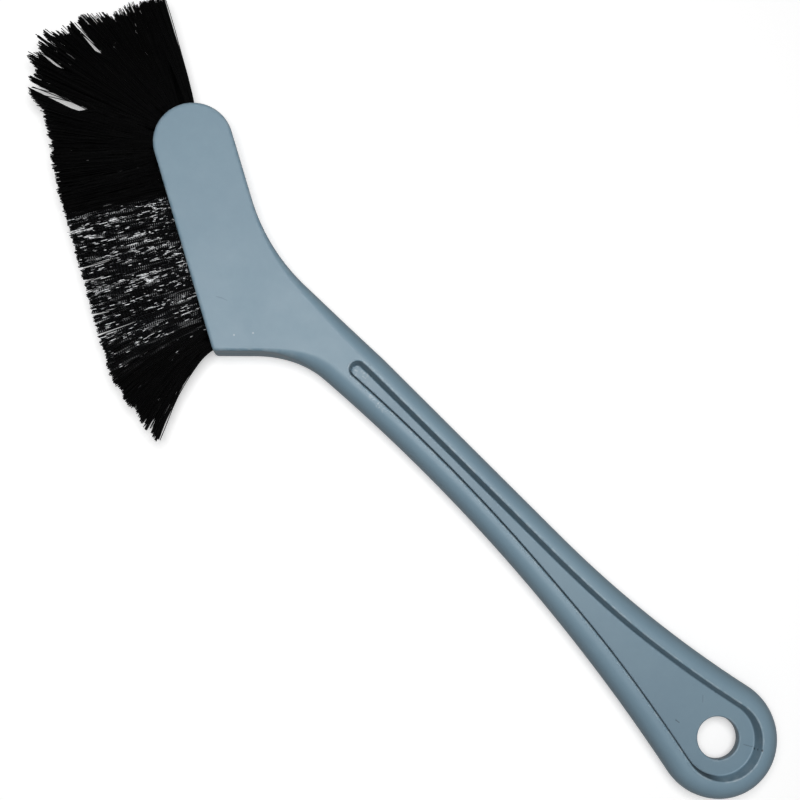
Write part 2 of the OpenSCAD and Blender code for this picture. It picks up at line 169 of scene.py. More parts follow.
@dataclass(frozen=True)
class BodyPlan:
    """Sizes of the moulded body and of its rows of tufts, and the curves that follow from them."""

    body_t: float = 11.0
    side_band: float = 0.8
    head_edge_r: float = 0.8
    tail_r: float = 14.2
    hang_hole_d: float = 10.0
    waist_x: float = 94.0
    waist_front: float = 4.5
    taper_x: float = 60.0
    waist_back: float = 7.7
    neck_x: float = 120.0
    neck_turn: float = 2.2
    neck_front_r: float = 25.0
    neck_back_r: float = 45.0
    head_x: float = 157.7
    head_angle: float = 28.3
    head_w: float = 19.0
    head_l: float = 59.2
    heel_back: float = 19.9
    heel_angle: float = 45.0
    heel_r: float = 1.2
    recess_depth: float = 4.0
    recess_draft: float = 0.6
    recess_fillet: float = 0.4
    rim_tail: float = 4.8
    rim_grip: float = 4.45
    rim_neck: float = 4.5
    rim_land: float = 0.8
    recess_end_x: float = 124.0
    trim_side: float = 24.6
    trim_tip: float = 27.0
    bristle_max: float = 36.0
    heel_fan: float = 16.5
    heel_fan_l: float = 17.0
    heel_trim_slope: float = 0.34
    tuft_start: float = 2.0
    tuft_last_angle: float = 101.0
    tuft_hole_d: float = 2.0
    tuft_hole_l: float = 5.0
    tuft_row_z: float = 1.9
    tip_row_z: float = 2.3
    anchor_h: float = 1.4
    anchor_fold: float = 0.6
    tuft_wall: float = 0.3
    last_drop: float = 2.2
    fan_power: float = 1.6
    hole_share: float = 0.75
    upper_n: int = 16
    lower_n: int = 15

    @property
    def half_t(self) -> float:
        """Half the thickness of the body."""
        return self.body_t / 2

    @property
    def head_r(self) -> float:
        """Radius of the head's tip."""
        return self.head_w / 2

    @property
    def edge_l(self) -> float:
        """Length of the head's long straight edge."""
        return self.head_l - self.head_r

    @cached_property
    def head_along(self) -> Vector:
        """Direction along the head, towards its tip."""
        a = math.radians(self.head_angle)
        return Vector((math.cos(a), -math.sin(a)))

    @cached_property
    def head_across(self) -> Vector:
        """Direction across the head, towards its bristles."""
        a = math.radians(self.head_angle)
        return Vector((math.sin(a), math.cos(a)))

    @cached_property
    def bend(self) -> Vector:
        """Corner of the back side before it is rounded."""
        rise = math.tan(math.radians(self.neck_turn)) * (self.head_x - self.neck_x)
        return Vector((self.head_x, -self.waist_back + rise))

    @cached_property
    def heel(self) -> Vector:
        """Corner of the heel before it is rounded."""
        return self.bend - self.heel_back * self.head_along + self.head_w * self.head_across

    @cached_property
    def tip_centre(self) -> Vector:
        """Centre of the head's round tip."""
        return self.heel + self.edge_l * self.head_along - self.head_r * self.head_across

    def _sweep_r(self, x: float, y: float) -> float:
        """Returns the radius of the arc that leaves the tail circle and is level at (x, y)."""
        return (x * x + y * y - self.tail_r**2) / (2 * (self.tail_r - y))

    @cached_property
    def front_sweep(self) -> tuple[Vector, float]:
        """Centre and radius of the long arc on the bristle side."""
        radius = self._sweep_r(self.waist_x, self.waist_front)
        return Vector((self.waist_x, self.waist_front + radius)), radius

    @cached_property
    def back_sweep(self) -> tuple[Vector, float]:
        """Centre and radius of the long arc on the back side."""
        radius = self._sweep_r(self.taper_x, self.waist_back)
        return Vector((self.taper_x, -self.waist_back - radius)), radius

    @cached_property
    def tail_angles(self) -> tuple[float, float]:
        """Angles at which the tail circle hands over to the front and back arcs.

        Returns:
            The angle on the bristle side and the one on the back side, in degrees.
        """
        front, back = self.front_sweep[0], self.back_sweep[0]
        return (
            math.degrees(math.atan2(front.y, front.x)),
            math.degrees(math.atan2(back.y, back.x)),
        )

    @cached_property
    def neck(self) -> tuple[Vector, float, float]:
        """The inner curve between handle and heel.

        Returns:
            Its centre, and its first and last angles in degrees.
        """
        a = math.radians(self.heel_angle)
        along, out = Vector((math.cos(a), math.sin(a))), Vector((-math.sin(a), math.cos(a)))
        centre, radius = self.front_sweep
        w = self.heel + self.neck_front_r * out - centre
        b = w.dot(along)
        root = math.sqrt(b * b - w.dot(w) + (radius - self.neck_front_r) ** 2)
        neck = self.heel + self.neck_front_r * out + along * (-b - root)
        start = math.degrees(math.atan2(neck.y - centre.y, neck.x - centre.x))
        return neck, start, self.heel_angle - 90

    @cached_property
    def bend_tangent(self) -> float:
        """Length from the bend to the ends of its rounding."""
        return self.neck_back_r * math.tan(math.radians(self.head_angle + self.neck_turn) / 2)

    def front_y(self, x: float) -> float:
        """Returns the height of the bristle side along the grip."""
        centre, radius = self.front_sweep
        return centre.y - math.sqrt(radius**2 - (x - centre.x) ** 2)

    def back_y(self, x: float) -> float:
        """Finds the height of the back side along the grip.

        Args:
            x: Distance from the hanging hole.

        Returns:
            The height there.
        """
        centre, radius = self.back_sweep
        if x < self.taper_x:
            return centre.y + math.sqrt(radius**2 - (x - centre.x) ** 2)
        return -self.waist_back + math.tan(math.radians(self.neck_turn)) * max(0.0, x - self.neck_x)

    def rim(self, x: float) -> float:
        """Finds the width of the rim round the recess.

        Args:
            x: Distance from the hanging hole.

        Returns:
            The width there.
        """
        return (
            self.rim_tail
            + (self.rim_grip - self.rim_tail) * ease(self.taper_x / 2, self.taper_x, x)
            + (self.rim_neck - self.rim_grip) * ease(self.waist_x, self.recess_end_x, x)
        )

    def tip_angle(self, s: float) -> float:
        """Returns the angle round the tip, in degrees, at distance s along the edge."""
        return math.degrees((s - self.edge_l) / self.head_r) if s > self.edge_l else 0.0

    def in_head(self, u: float, v: float) -> Vector:
        """Returns the point u along the head and v across it, from the heel."""
        return self.heel + u * self.head_along + v * self.head_across

    def edge_point(self, s: float) -> Vector:
        """Finds a point of the head's edge.

        Args:
            s: Distance along the head's edge from the heel, in millimetres.

        Returns:
            The point.
        """
        if s <= self.edge_l:
            return self.in_head(s, 0)
        a = math.radians(self.tip_angle(s))
        return self.in_head(self.edge_l + self.head_r * math.sin(a), -self.head_r + self.head_r * math.cos(a))

    def end_point(self, s: float) -> Vector:
        """Finds where a bristle meets the trimmed outline.

        Args:
            s: Distance along the head's edge from the heel, in millimetres.

        Returns:
            The point at which the bristle rooted there ends.
        """
        if s <= self.edge_l:
            u = s - self.heel_fan * (1 - share(0, self.heel_fan_l, s)) ** self.fan_power
            return self.in_head(u, self.trim_side + self.heel_trim_slope * min(0.0, u))
        degrees = self.tip_angle(s)
        if degrees < 90:
            a = math.radians(degrees)
            reach = min(
                (self.trim_side + self.head_r) / math.cos(a),
                (self.trim_tip + self.head_r) / math.sin(a),
                self.bristle_max + self.head_r,
            )
            return self.in_head(self.edge_l + reach * math.sin(a), -self.head_r + reach * math.cos(a))
        drop = self.last_drop * (degrees - 90) / (self.tuft_last_angle - 90)
        return self.in_head(self.edge_l + self.trim_tip + self.head_r, -self.head_r - drop)

    def hole_dir(self, s: float) -> Vector:
        """Finds the direction of a tuft hole.

        Args:
            s: Distance along the head's edge from the heel, in millimetres.

        Returns:
            The direction, outwards.
        """
        a = math.radians(self.head_angle + self.tip_angle(s))
        square = Vector((math.sin(a), math.cos(a)))
        lean = (self.end_point(s) - self.edge_point(s)).normalized()
        return (square * (1 - self.hole_share) + lean * self.hole_share).normalized()

    @property
    def last_s(self) -> float:
        """Distance of the last tuft along the head's edge."""
        return self.edge_l + self.head_r * math.radians(self.tuft_last_angle)

    @property
    def tuft_pitch(self) -> float:
        """Distance between the tufts of one row along the edge."""
        return (self.last_s - self.tuft_start) / (self.upper_n - 1)

    def hole_depth(self, s: float) -> float:
        """Finds the depth of a tuft hole, which is less where the holes crowd round the tip.

        Args:
            s: Distance along the head's edge from the heel, in millimetres.

        Returns:
            The depth.
        """
        if s <= self.edge_l - self.tuft_hole_l:
            return self.tuft_hole_l
        room = 1 - (self.tuft_hole_d + self.tuft_wall) / self.tuft_pitch
        return min(self.tuft_hole_l, self.head_r * room)


class Row(Enum):
    """The two rows of tufts: side of the body, first place in pitches, and name."""

    UPPER = (1, 0.0, "upper")
    LOWER = (-1, 0.5, "lower")

    @property
    def side(self) -> int:
        """1 above the middle of the thickness and -1 below it."""
        return self.value[0]

    @property
    def label(self) -> str:
        """Word for the row in the names of its pieces."""
        return self.value[2]

    def count(self, plan: BodyPlan) -> int:
        """Returns the number of tufts in the row."""
        return plan.upper_n if self is Row.UPPER else plan.lower_n

    def place(self, plan: BodyPlan, index: int) -> float:
        """Returns the distance of a tuft along the head's edge."""
        return plan.tuft_start + (index + self.value[1]) * plan.tuft_pitch


# Node trees


def is_vector(value: object) -> bool:
    """Tells whether a value is a vector, or a wire that carries one."""
    return value.socket.type in ("VECTOR", "RGBA") if isinstance(value, Wire) else isinstance(value, tuple)


class Wire:
    """A value on its way through a node tree, which adds and multiplies as a number does."""

    def __init__(self, bench: "NodeBench", socket: bpy.types.NodeSocket) -> None:
        """Keeps the bench and the socket that the value comes from."""
        self.bench = bench
        self.socket = socket

    def _join(self, operation: str, a: object, b: object) -> "Wire":
        """Joins two values by the kind of Math node that suits them.

        Args:
            operation: Name of the operation.
            a: First number, vector or wire.
            b: Second number, vector or wire.

        Returns:
            The result, which is a vector if either value is one.
        """
        vectors = is_vector(a), is_vector(b)
        if operation == "MULTIPLY" and vectors == (True, False):
            return self.bench.vector("SCALE", a, b)
        if operation == "MULTIPLY" and vectors == (False, True):
            return self.bench.vector("SCALE", b, a)
        return self.bench.vector(operation, a, b) if any(vectors) else self.bench.math(operation, a, b)

    def __add__(self, other: object) -> "Wire":
        """Returns the sum."""
        return self._join("ADD", self, other)

    def __radd__(self, other: object) -> "Wire":
        """Returns the sum, for a plain value on the left."""
        return self._join("ADD", other, self)

    def __sub__(self, other: object) -> "Wire":
        """Returns the difference."""
        return self._join("SUBTRACT", self, other)

    def __rsub__(self, other: object) -> "Wire":
        """Returns the difference, for a plain value on the left."""
        return self._join("SUBTRACT", other, self)

    def __mul__(self, other: object) -> "Wire":
        """Returns the product."""
        return self._join("MULTIPLY", self, other)

    def __rmul__(self, other: object) -> "Wire":
        """Returns the product, for a plain value on the left."""
        return self._join("MULTIPLY", other, self)

    def __truediv__(self, other: object) -> "Wire":
        """Returns the quotient."""
        return self._join("DIVIDE", self, other)

    def dot(self, other: object) -> "Wire":
        """Returns the dot product with another vector."""
        return self.bench.vector("DOT_PRODUCT", self, other)


class NodeBench:
    """Adds and joins the nodes of one tree."""

    def __init__(self, tree: bpy.types.NodeTree) -> None:
        """Keeps the tree that the nodes go into."""
        self.tree = tree

    def feed(self, target: bpy.types.NodeSocket, value: object) -> None:
        """Joins a wire or a socket to an input, or sets the input to a plain value.

        Args:
            target: The input.
            value: Wire, socket, number, vector or colour.
        """
        if isinstance(value, Wire):
            value = value.socket
        if isinstance(value, bpy.types.NodeSocket):
            self.tree.links.new(value, target)
        elif isinstance(value, (int, float)) and hasattr(target.default_value, "__len__"):
            target.default_value = [value] * len(target.default_value)
        else:
            target.default_value = value

    def fill(self, node: bpy.types.Node, inputs: Inputs) -> None:
        """Feeds a node's inputs, given by name or number."""
        for key, value in inputs.items():
            self.feed(node.inputs[key], value)

    def add(self, kind: str, inputs: Inputs | None = None, **settings: object) -> bpy.types.Node:
        """Adds a node.

        Args:
            kind: Type name of the node.
            inputs: What goes into its inputs, by name or number.
            **settings: Values of the node's own properties.

        Returns:
            The new node.
        """
        node = self.tree.nodes.new(kind)
        for name, value in settings.items():
            setattr(node, name, value)
        self.fill(node, inputs or {})
        return node

    def out(self, kind: str, inputs: Inputs | None = None, output: str | int = 0, **settings: object) -> Wire:
        """Adds a node and takes one of its results.

        Args:
            kind: Type name of the node.
            inputs: What goes into its inputs, by name or number.
            output: Name or number of the result.
            **settings: Values of the node's own properties.

        Returns:
            The result.
        """
        return Wire(self, self.add(kind, inputs, **settings).outputs[output])

    def math(self, operation: str, a: object, b: object = 0.0, clamp: bool = False) -> Wire:
        """Returns the result of a Math node."""
        return self.out("ShaderNodeMath", {0: a, 1: b}, operation=operation, use_clamp=clamp)

    def vector(self, operation: str, a: object, b: object = 0.0) -> Wire:
        """Adds a Vector Math node.

        Args:
            operation: Name of the operation.
            a: First vector.
            b: Second vector, or the number of SCALE.

        Returns:
            The vector, or for DOT_PRODUCT, LENGTH and DISTANCE the number.
        """
        inputs = {0: a}
        if operation not in ("LENGTH", "NORMALIZE"):
            inputs["Scale" if operation == "SCALE" else 1] = b
        output = "Value" if operation in ("DOT_PRODUCT", "LENGTH", "DISTANCE") else "Vector"
        return self.out("ShaderNodeVectorMath", inputs, output, operation=operation)

    def span(self, value: object, low: float, high: float, to_low: float = 0.0, to_high: float = 1.0) -> Wire:
        """Moves a value from one range to another with a smooth step, and keeps it inside.

        Args:
            value: The value.
            low: Start of its range.
            high: End of its range.
            to_low: Start of the new range.
            to_high: End of the new range.

        Returns:
            The value in the new range.
        """
        inputs = {"Value": value, "From Min": low, "From Max": high, "To Min": to_low, "To Max": to_high}
        return self.out("ShaderNodeMapRange", inputs, "Result", interpolation_type="SMOOTHSTEP")

    def noise(
        self, coords: object, scale: float, detail: float = 2.0, rough: float = 0.5, output: str | int = 0
    ) -> Wire:
        """Adds a Noise Texture.

        Args:
            coords: Where it is read.
            scale: Waves to a unit of length.
            detail: Number of finer layers.
            rough: Strength of the finer layers.
            output: Which result is taken.

        Returns:
            Its value, about 0.5 on average.
        """
        inputs = {"Vector": coords, "Scale": scale, "Detail": detail, "Roughness": rough}
        return self.out("ShaderNodeTexNoise", inputs, output, noise_dimensions="3D")

    def mix(self, factor: object, a: object, b: object) -> Wire:
        """Returns the mix of two colours."""
        return self.out("ShaderNodeMix", {0: factor, 6: a, 7: b}, 2, data_type="RGBA")

    def most(self, *values: object) -> Wire:
        """Returns the greatest of several numbers."""
        return reduce(lambda a, b: self.math("MAXIMUM", a, b), values)

    def xyz(self, x: object = 0.0, y: object = 0.0, z: object = 0.0) -> Wire:
        """Returns a vector made of three numbers."""
        return self.out("ShaderNodeCombineXYZ", {"X": x, "Y": y, "Z": z})

    def height(self, place: Wire) -> Wire:
        """Returns the Z of a place."""
        return self.out("ShaderNodeSeparateXYZ", {0: place}, "Z")

    def seen(self) -> Wire:
        """Returns 1 for what the camera sees, straight, in a reflection or through glass, and else 0."""
        path = self.add("ShaderNodeLightPath").outputs
        return self.most(*(path[f"Is {ray} Ray"] for ray in ("Camera", "Glossy", "Transmission")))


def linear(red: int, green: int, blue: int) -> Colour:
    """Turns a display colour into a scene colour.

    Args:
        red: Red, from 0 to 255.
        green: Green, from 0 to 255.
        blue: Blue, from 0 to 255.

    Returns:
        The colour, fully opaque.
    """

    def one(value: int) -> float:
        """Returns one channel without its display curve."""
        c = value / 255
        return c / 12.92 if c <= 0.04045 else ((c + 0.055) / 1.055) ** 2.4

    return one(red), one(green), one(blue), 1.0


def new_material(name: str) -> tuple[bpy.types.Material, NodeBench, bpy.types.Node]:
    """Makes an empty material.

    Args:
        name: Name of the material.

    Returns:
        The material, a bench on its tree, and its shader.
    """
    material = bpy.data.materials.new(name)
    material.use_nodes = True
    return material, NodeBench(material.node_tree), material.node_tree.nodes["Principled BSDF"]


def millimetres(bench: NodeBench) -> Wire:
    """Returns the object's own coordinates in millimetres."""
    return bench.out("ShaderNodeTexCoord", output="Object") * (1 / MM)


def attribute(bench: NodeBench, name: str) -> Wire:
    """Returns a number that is stored on the mesh."""
    return bench.out("ShaderNodeAttribute", output="Fac", attribute_name=name)


def bump(bench: NodeBench, shader: bpy.types.Node, height: Wire) -> None:
    """Raises the shader's surface by a height in millimetres."""
    inputs = {"Strength": 1.0, "Distance": MM, "Height": height}
    bench.feed(shader.inputs["Normal"], bench.out("ShaderNodeBump", inputs, "Normal"))


# Finishes


@dataclass(frozen=True)
class Cloud:
    """An even noise: waves a millimetre, finer layers, their strength, and the range of its patches."""

    waves: float
    detail: float = 2.0
    rough: float = 0.5
    low: float = 0.35
    high: float = 0.65

    def noise(self, bench: NodeBench, place: Wire) -> Wire:
        """Returns the noise at a place, about 0.5 on average."""
        return bench.noise(place, self.waves, self.detail, self.rough)

    def patches(self, bench: NodeBench, place: Wire) -> Wire:
        """Returns 0 where the noise is under its low end and 1 where it is over its high one."""
        return bench.span(self.noise(bench, place), self.low, self.high)


@dataclass(frozen=True)
class Stroke:
    """A thin dark mark: its two ends, half its width, how much it shows, its wobble and its fade."""

    start: Place
    end: Place
    half: float
    level: float
    wobble: Cloud = Cloud(1.6)
    fade: Span = (2.2, 1.2)

    def drawn(self, bench: NodeBench, place: Wire) -> Wire:
        """Draws the mark.

        Args:
            bench: Bench on the material's tree.
            place: Coordinates in millimetres.

        Returns:
            Its level on the stroke and 0 off it.
        """
        run = Vector(self.end) - Vector(self.start)
        out = place - self.start
        part = bench.math("DIVIDE", out.dot(tuple(run.normalized())), run.length, clamp=True)
        off = bench.vector("DISTANCE", out, tuple(run) * part)
        off = off + self.wobble.noise(bench, place) * self.half
        return bench.span(off, *(limit * self.half for limit in self.fade)) * self.level


@dataclass(frozen=True)
class Spots:
    """Round marks of one kind: where they are, and where they start and stop to fade."""

    places: tuple[Place, ...]
    inner: float
    outer: float

    def drawn(self, bench: NodeBench, place: Wire) -> list[Wire]:
        """Returns each mark as 1 in its middle and 0 outside it."""
        return [bench.span(bench.vector("DISTANCE", place, at), self.outer, self.inner) for at in self.places]


@dataclass(frozen=True)
class SatinPlastic:
    """Grey-blue moulded plastic with a satin face, a knit line, light marks of use and painted shade in the
    recesses.
    """

    dark: Colour = linear(111, 137, 153)
    light: Colour = linear(118, 144, 159)
    chalk: Colour = linear(196, 206, 210)
    shadow: Colour = linear(48, 62, 70)
    # Colour of the painted shade on the recess walls and floors.
    painted_shade: Colour = linear(8, 14, 20)
    roughness: float = 0.38
    smudge: float = 0.16
    polish: float = 0.08
    grain: float = 0.006
    sink: float = 0.05
    wear_show: float = 0.35
    mottle_show: float = 0.5
    mark_show: float = 0.55
    knit_show: float = 0.9
    shade_show: float = 0.92
    broad: Cloud = Cloud(0.03, 3.0)
    fine: Cloud = Cloud(0.35, 4.0, 0.6)
    fine_share: float = 0.3
    tones: Span = (0.32, 0.68)
    worn: Cloud = Cloud(0.6, 4.0, 0.5, 0.35, 0.7)
    patchy: Cloud = Cloud(1.3, 4.0, 0.7, 0.52, 0.66)
    flaky: Cloud = Cloud(2.2, 3.0, 0.5, 0.5, 0.6)
    handled: Cloud = Cloud(0.12, 5.0, 0.6)
    pores: Cloud = Cloud(5.0)
    swells: Cloud = Cloud(0.09, 1.0)
    strokes: tuple[Stroke, ...] = (
        Stroke((-5.4, -3.2, 1.5), (-7.3, -4.25, 1.5), 0.09, 0.4),
        Stroke((9.5, -4.6, 1.5), (8.45, -3.5, 1.5), 0.1, 0.3),
        Stroke((10.2, 4.1, 1.5), (9.25, 3.95, 1.5), 0.11, 0.6),
        Stroke((157.7, 10.3, 5.5), (156.5, 9.6, 5.5), 0.08, 0.3),
        Stroke((156.5, 9.6, 5.5), (155.3, 9.2, 5.5), 0.08, 0.2),
    )
    dots: Spots = Spots(((-7.75, -4.25, 1.9), (-8.0, -4.5, 3.5), (-8.25, -4.8, 5.4)), 0.16, 0.4)
    mottling: Spots = Spots(((121.6, -1.5, 1.5),), 1.2, 5.5)
    scuffs: Spots = Spots(((115.0, 1.1, 5.5), (110.7, 1.15, 5.5), (112.6, 1.3, 5.5)), 0.3, 1.1)
    specks: Spots = Spots(((145.5, 10.3, 5.5), (148.3, 13.8, 5.5)), 0.1, 0.32)

    def _dark_marks(self, bench: NodeBench, place: Wire) -> Wire:
        """Returns the knit line beside the hole with its dots up the wall, and the scratches."""
        strokes = [stroke.drawn(bench, place) for stroke in self.strokes]
        return bench.most(*strokes, *self.dots.drawn(bench, place))

    def _pale_marks(self, bench: NodeBench, place: Wire, wear: Wire) -> Wire:
        """Gathers the pale marks.

        Args:
            bench: Bench on the material's tree.
            place: Coordinates in millimetres.
            wear: How worn the edges are.

        Returns:
            The strongest of the mottling at the recess's end, the scuffs, the specks and the wear.
        """
        mottle = self.mottling.drawn(bench, place)[0] * self.patchy.patches(bench, place)
        flakes = self.flaky.patches(bench, place)
        scuffs = [scuff * flakes for scuff in self.scuffs.drawn(bench, place)]
        marks = bench.most(*scuffs, *self.specks.drawn(bench, place))
        return bench.most(mottle * self.mottle_show, marks * self.mark_show, wear * self.wear_show)

    def material(self) -> bpy.types.Material:
        """Builds the material.

        Returns:
            The finished material.
        """
        material, bench, shader = new_material("satin_plastic")
        place = millimetres(bench)
        tone = self.broad.noise(bench, place) * (1 - self.fine_share)
        tone = tone + self.fine.noise(bench, place) * self.fine_share
        colour = bench.mix(bench.span(tone, *self.tones), self.dark, self.light)
        wear = attribute(bench, "edge_wear") * self.worn.patches(bench, place)
        knit = self._dark_marks(bench, place)
        colour = bench.mix(self._pale_marks(bench, place, wear), colour, self.chalk)
        colour = bench.mix(knit * self.knit_show, colour, self.shadow)
        # Painted shade: the mesh's shade values darken the recess walls, most under the rim, and the recess
        # floors.
        colour = bench.mix(attribute(bench, "shade") * self.shade_show, colour, self.painted_shade)
        rough = self.roughness + self.handled.noise(bench, place) * self.smudge - wear * self.polish
        relief = self.pores.noise(bench, place) * self.grain + self.swells.noise(bench, place) * self.sink
        bench.fill(shader, {"Base Color": colour, "Roughness": rough, "IOR": PLASTIC_IOR})
        bump(bench, shader, relief + knit * -self.sink)
        return material


@dataclass(frozen=True)
class Weave:
    """A noise drawn out along the bristles: waves a millimetre each way, offset, strength, detail."""

    across: float
    along: float
    offset: float
    strength: float = 1.0
    detail: float = 1.0

    def noise(self, bench: NodeBench, u: Wire, v: Wire) -> Wire:
        """Returns the noise, about 0.5 on average, at a place along the head and off its edge."""
        return bench.noise(bench.xyz(u * self.across, v * self.along, self.offset), 1.0, self.detail)

    def share(self, bench: NodeBench, u: Wire, v: Wire) -> Wire:
        """Returns the noise times its strength."""
        return self.noise(bench, u, v) * self.strength

    def swing(self, bench: NodeBench, u: Wire, v: Wire) -> Wire:
        """Returns the noise times its strength, about 0 on average."""
        return (self.noise(bench, u, v) - 0.5) * self.strength


@dataclass(frozen=True)
class BristlePlastic:
    """Black crimped bristle, with short painted glints, a painted highlight in the base colour, where the
    middle of the brush faces the light.
    """

    plan: BodyPlan
    base: Colour = (0.0005, 0.0005, 0.0006, 1.0)
    # Colour of the painted sheen on the crimp crests in the middle zone.
    lit: Colour = (0.02, 0.022, 0.026, 1.0)
    # Colour of the painted glints.
    shine: Colour = (0.95, 0.97, 1.0, 1.0)
    roughness: float = 0.4
    specular: float = 0.04
    film_ior: float = 2.4
    film_roughness: float = 0.22
    crimp: float = 0.66
    crimp_height: float = 0.018
    zone: tuple[float, float, float, float] = (3.0, 12.0, 38.2, 40.2)
    reach: tuple[float, float, float, float] = (0.5, 4.0, 43.0, 48.0)
    outer: Span = (0.8, 2.4)
    crests: Span = (0.0, 0.9)
    crest_share: float = 0.4
    streaks: Span = (0.6, 0.625)
    fan: float = 0.0065
    fan_middle: float = 27.0
    shore: Weave = Weave(0.5, 0.12, 31.0, 5.0)
    patches: Weave = Weave(0.5, 0.16, 7.0, 0.25)
    rows: Weave = Weave(1.5, 0.04, 11.0, 0.5, 2.0)
    own: Weave = Weave(61.0, 0.55, 0.0, 0.7)
    shared: Weave = Weave(3.2, 0.35, 0.0, 0.3)
    combed: Weave = Weave(1.5, 0.13, 19.0)
    outside: float = 0.13
    tick_pitch: float = 0.5
    tick_slant: float = 0.8
    tick_show: float = 0.35
    ticks: Span = (0.2, 0.9)
    combs: Span = (0.56, 0.66)
    tone_dull: float = 0.2
    flash_polish: float = 0.2

    def _head_frame(self, bench: NodeBench) -> tuple[Wire, Wire]:
        """Works out where a point of the bristles lies.

        Args:
            bench: Bench on the material's tree.

        Returns:
            Distance along the head, taken back along the fan of the bristles, and off its edge.
        """
        place = millimetres(bench) - tuple(self.plan.heel.to_3d())
        v = place.dot(tuple(self.plan.head_across.to_3d()))
        u = place.dot(tuple(self.plan.head_along.to_3d()))
        return u - v * ((u - self.fan_middle) * self.fan), v

    def _glints(self, bench: NodeBench, marks: tuple[Wire, Wire], crest: Wire) -> tuple[Wire, Wire]:
        """Lays out the painted glints.

        Args:
            bench: Bench on the material's tree.
            marks: Distance along the bristle, and the bristle's own tone.
            crest: 1 on the crests of the crimp.

        Returns:
            How much of the bristle glints, and 1 inside the zone that faces the light.
        """
        along, tone = marks
        u, v = self._head_frame(bench)
        edge = u + self.shore.swing(bench, u, v)
        zones = (self.zone, self.reach)
        inside, near = (bench.span(edge, a, b) * bench.span(edge, d, c) for a, b, c, d in zones)
        level = self.patches.swing(bench, u, v) + self.rows.swing(bench, u, v) - (1.0 - inside) * self.outside
        streak = self.own.share(bench, tone, along) + self.shared.share(bench, u, v) + level
        on_crest = (1 - self.crest_share) + crest * self.crest_share
        streak = bench.span(streak, *self.streaks) * on_crest
        slant = v / self.tick_pitch + u * self.tick_slant
        tick = bench.span(bench.math("SINE", slant * (2 * math.pi)), *self.ticks)
        tick = tick * bench.span(self.combed.noise(bench, u, v), *self.combs)
        layer = bench.math("ABSOLUTE", bench.height(millimetres(bench)))
        flash = bench.most(streak, tick * inside * self.tick_show) * near * bench.span(layer, *self.outer)
        return flash, inside

    def material(self) -> bpy.types.Material:
        """Builds the material.

        Returns:
            The finished material.
        """
        material, bench, shader = new_material("bristle_plastic")
        along, tone = attribute(bench, "along"), attribute(bench, "tone")
        wave = bench.math("SINE", along * (2 * math.pi / self.crimp))
        crest = bench.span(wave, *self.crests)
        flash, inside = self._glints(bench, (along, tone), crest)
        # Painted sheen: the crimp crests in the middle zone are a little lighter than the black.
        colour = bench.mix(crest * tone * inside, self.base, self.lit)
        bench.fill(
            shader,
            {
                # Painted glints: the base colour turns to the shine colour under the flash mask; the coat and
                # lower roughness there add real gloss.
                "Base Color": bench.mix(flash, colour, self.shine),
                "Roughness": self.roughness + tone * self.tone_dull - flash * self.flash_polish,
                "IOR": PLASTIC_IOR,
                "Specular IOR Level": self.specular,
                "Coat Weight": flash,
                "Coat Roughness": self.film_roughness,
                "Coat IOR": self.film_ior,
            },
        )
        bump(bench, shader, wave * self.crimp_height)
        return material


@dataclass(frozen=True)
class AnchorSteel:
    """Flat drawn wire with fine marks along its length."""

    colour: Colour = (0.55, 0.54, 0.52, 1.0)
    dull: Colour = (0.38, 0.37, 0.35, 1.0)
    marks: Place = (9.0, 9.0, 0.8)
    mark_height: float = 0.01
    roughness: float = 0.25
    uneven: float = 0.2
    drawing: Cloud = Cloud(1.0, 3.0)

    def material(self) -> bpy.types.Material:
        """Builds the material.

        Returns:
            The finished material.
        """
        material, bench, shader = new_material("anchor_steel")
        drawn = self.drawing.noise(bench, millimetres(bench) * self.marks)
        share_drawn = bench.span(drawn, self.drawing.low, self.drawing.high)
        colour = bench.mix(share_drawn, self.dull, self.colour)
        rough = self.roughness + drawn * self.uneven
        bench.fill(shader, {"Base Color": colour, "Roughness": rough, "Metallic": 1.0})
        bump(bench, shader, drawn * self.mark_height)
        return material


@dataclass(frozen=True)
class PaperFloor:
    """White floor that looks white to the camera away from the object and keeps its shadow."""

    colour: Colour = (0.86, 0.86, 0.86, 1.0)
    bounce: Colour = (0.17, 0.155, 0.145, 1.0)
    roughness: float = 0.85
    specular: float = 0.1
    lift: float = 0.34
    far_lift: float = 1.0
    middle: Place = (110.0, 0.0, 0.0)
    rise: Span = (180.0, 420.0)
    tooth: Cloud = Cloud(0.8, 3.0)
    tooth_show: float = 0.1

    def material(self) -> bpy.types.Material:
        """Builds the material.

        Returns:
            The finished material.
        """
        material, bench, shader = new_material("paper_floor")
        place = millimetres(bench)
        straight = bench.out("ShaderNodeLightPath", output="Is Camera Ray")
        away = bench.vector("DISTANCE", place, self.middle)
        bench.fill(
            shader,
            {
                "Base Color": bench.mix(straight, self.bounce, self.colour),
                "Roughness": self.roughness + self.tooth.noise(bench, place) * self.tooth_show,
                "Specular IOR Level": self.specular,
                "Emission Color": WHITE,
                "Emission Strength": bench.seen() * bench.span(away, *self.rise, self.lift, self.far_lift),
            },
        )
        return material


# Meshes


def show(name: str, mesh: bpy.types.Mesh) -> bpy.types.Object:
    """Puts a mesh into the scene.

    Args:
        name: Name of the object.
        mesh: Its mesh.

    Returns:
        The object, at the origin.
    """
    obj = bpy.data.objects.new(name, mesh)
    bpy.context.scene.collection.objects.link(obj)
    return obj


def settled(obj: bpy.types.Object) -> bpy.types.Mesh:
    """Returns the object's shape with its modifiers worked in, as a plain mesh."""
    evaluated = obj.evaluated_get(bpy.context.evaluated_depsgraph_get())
    return bpy.data.meshes.new_from_object(evaluated)


def drop(obj: bpy.types.Object) -> None:
    """Removes a helper object and its mesh.

    Args:
        obj: The object.
    """
    mesh = obj.data
    bpy.data.objects.remove(obj)
    bpy.data.meshes.remove(mesh)


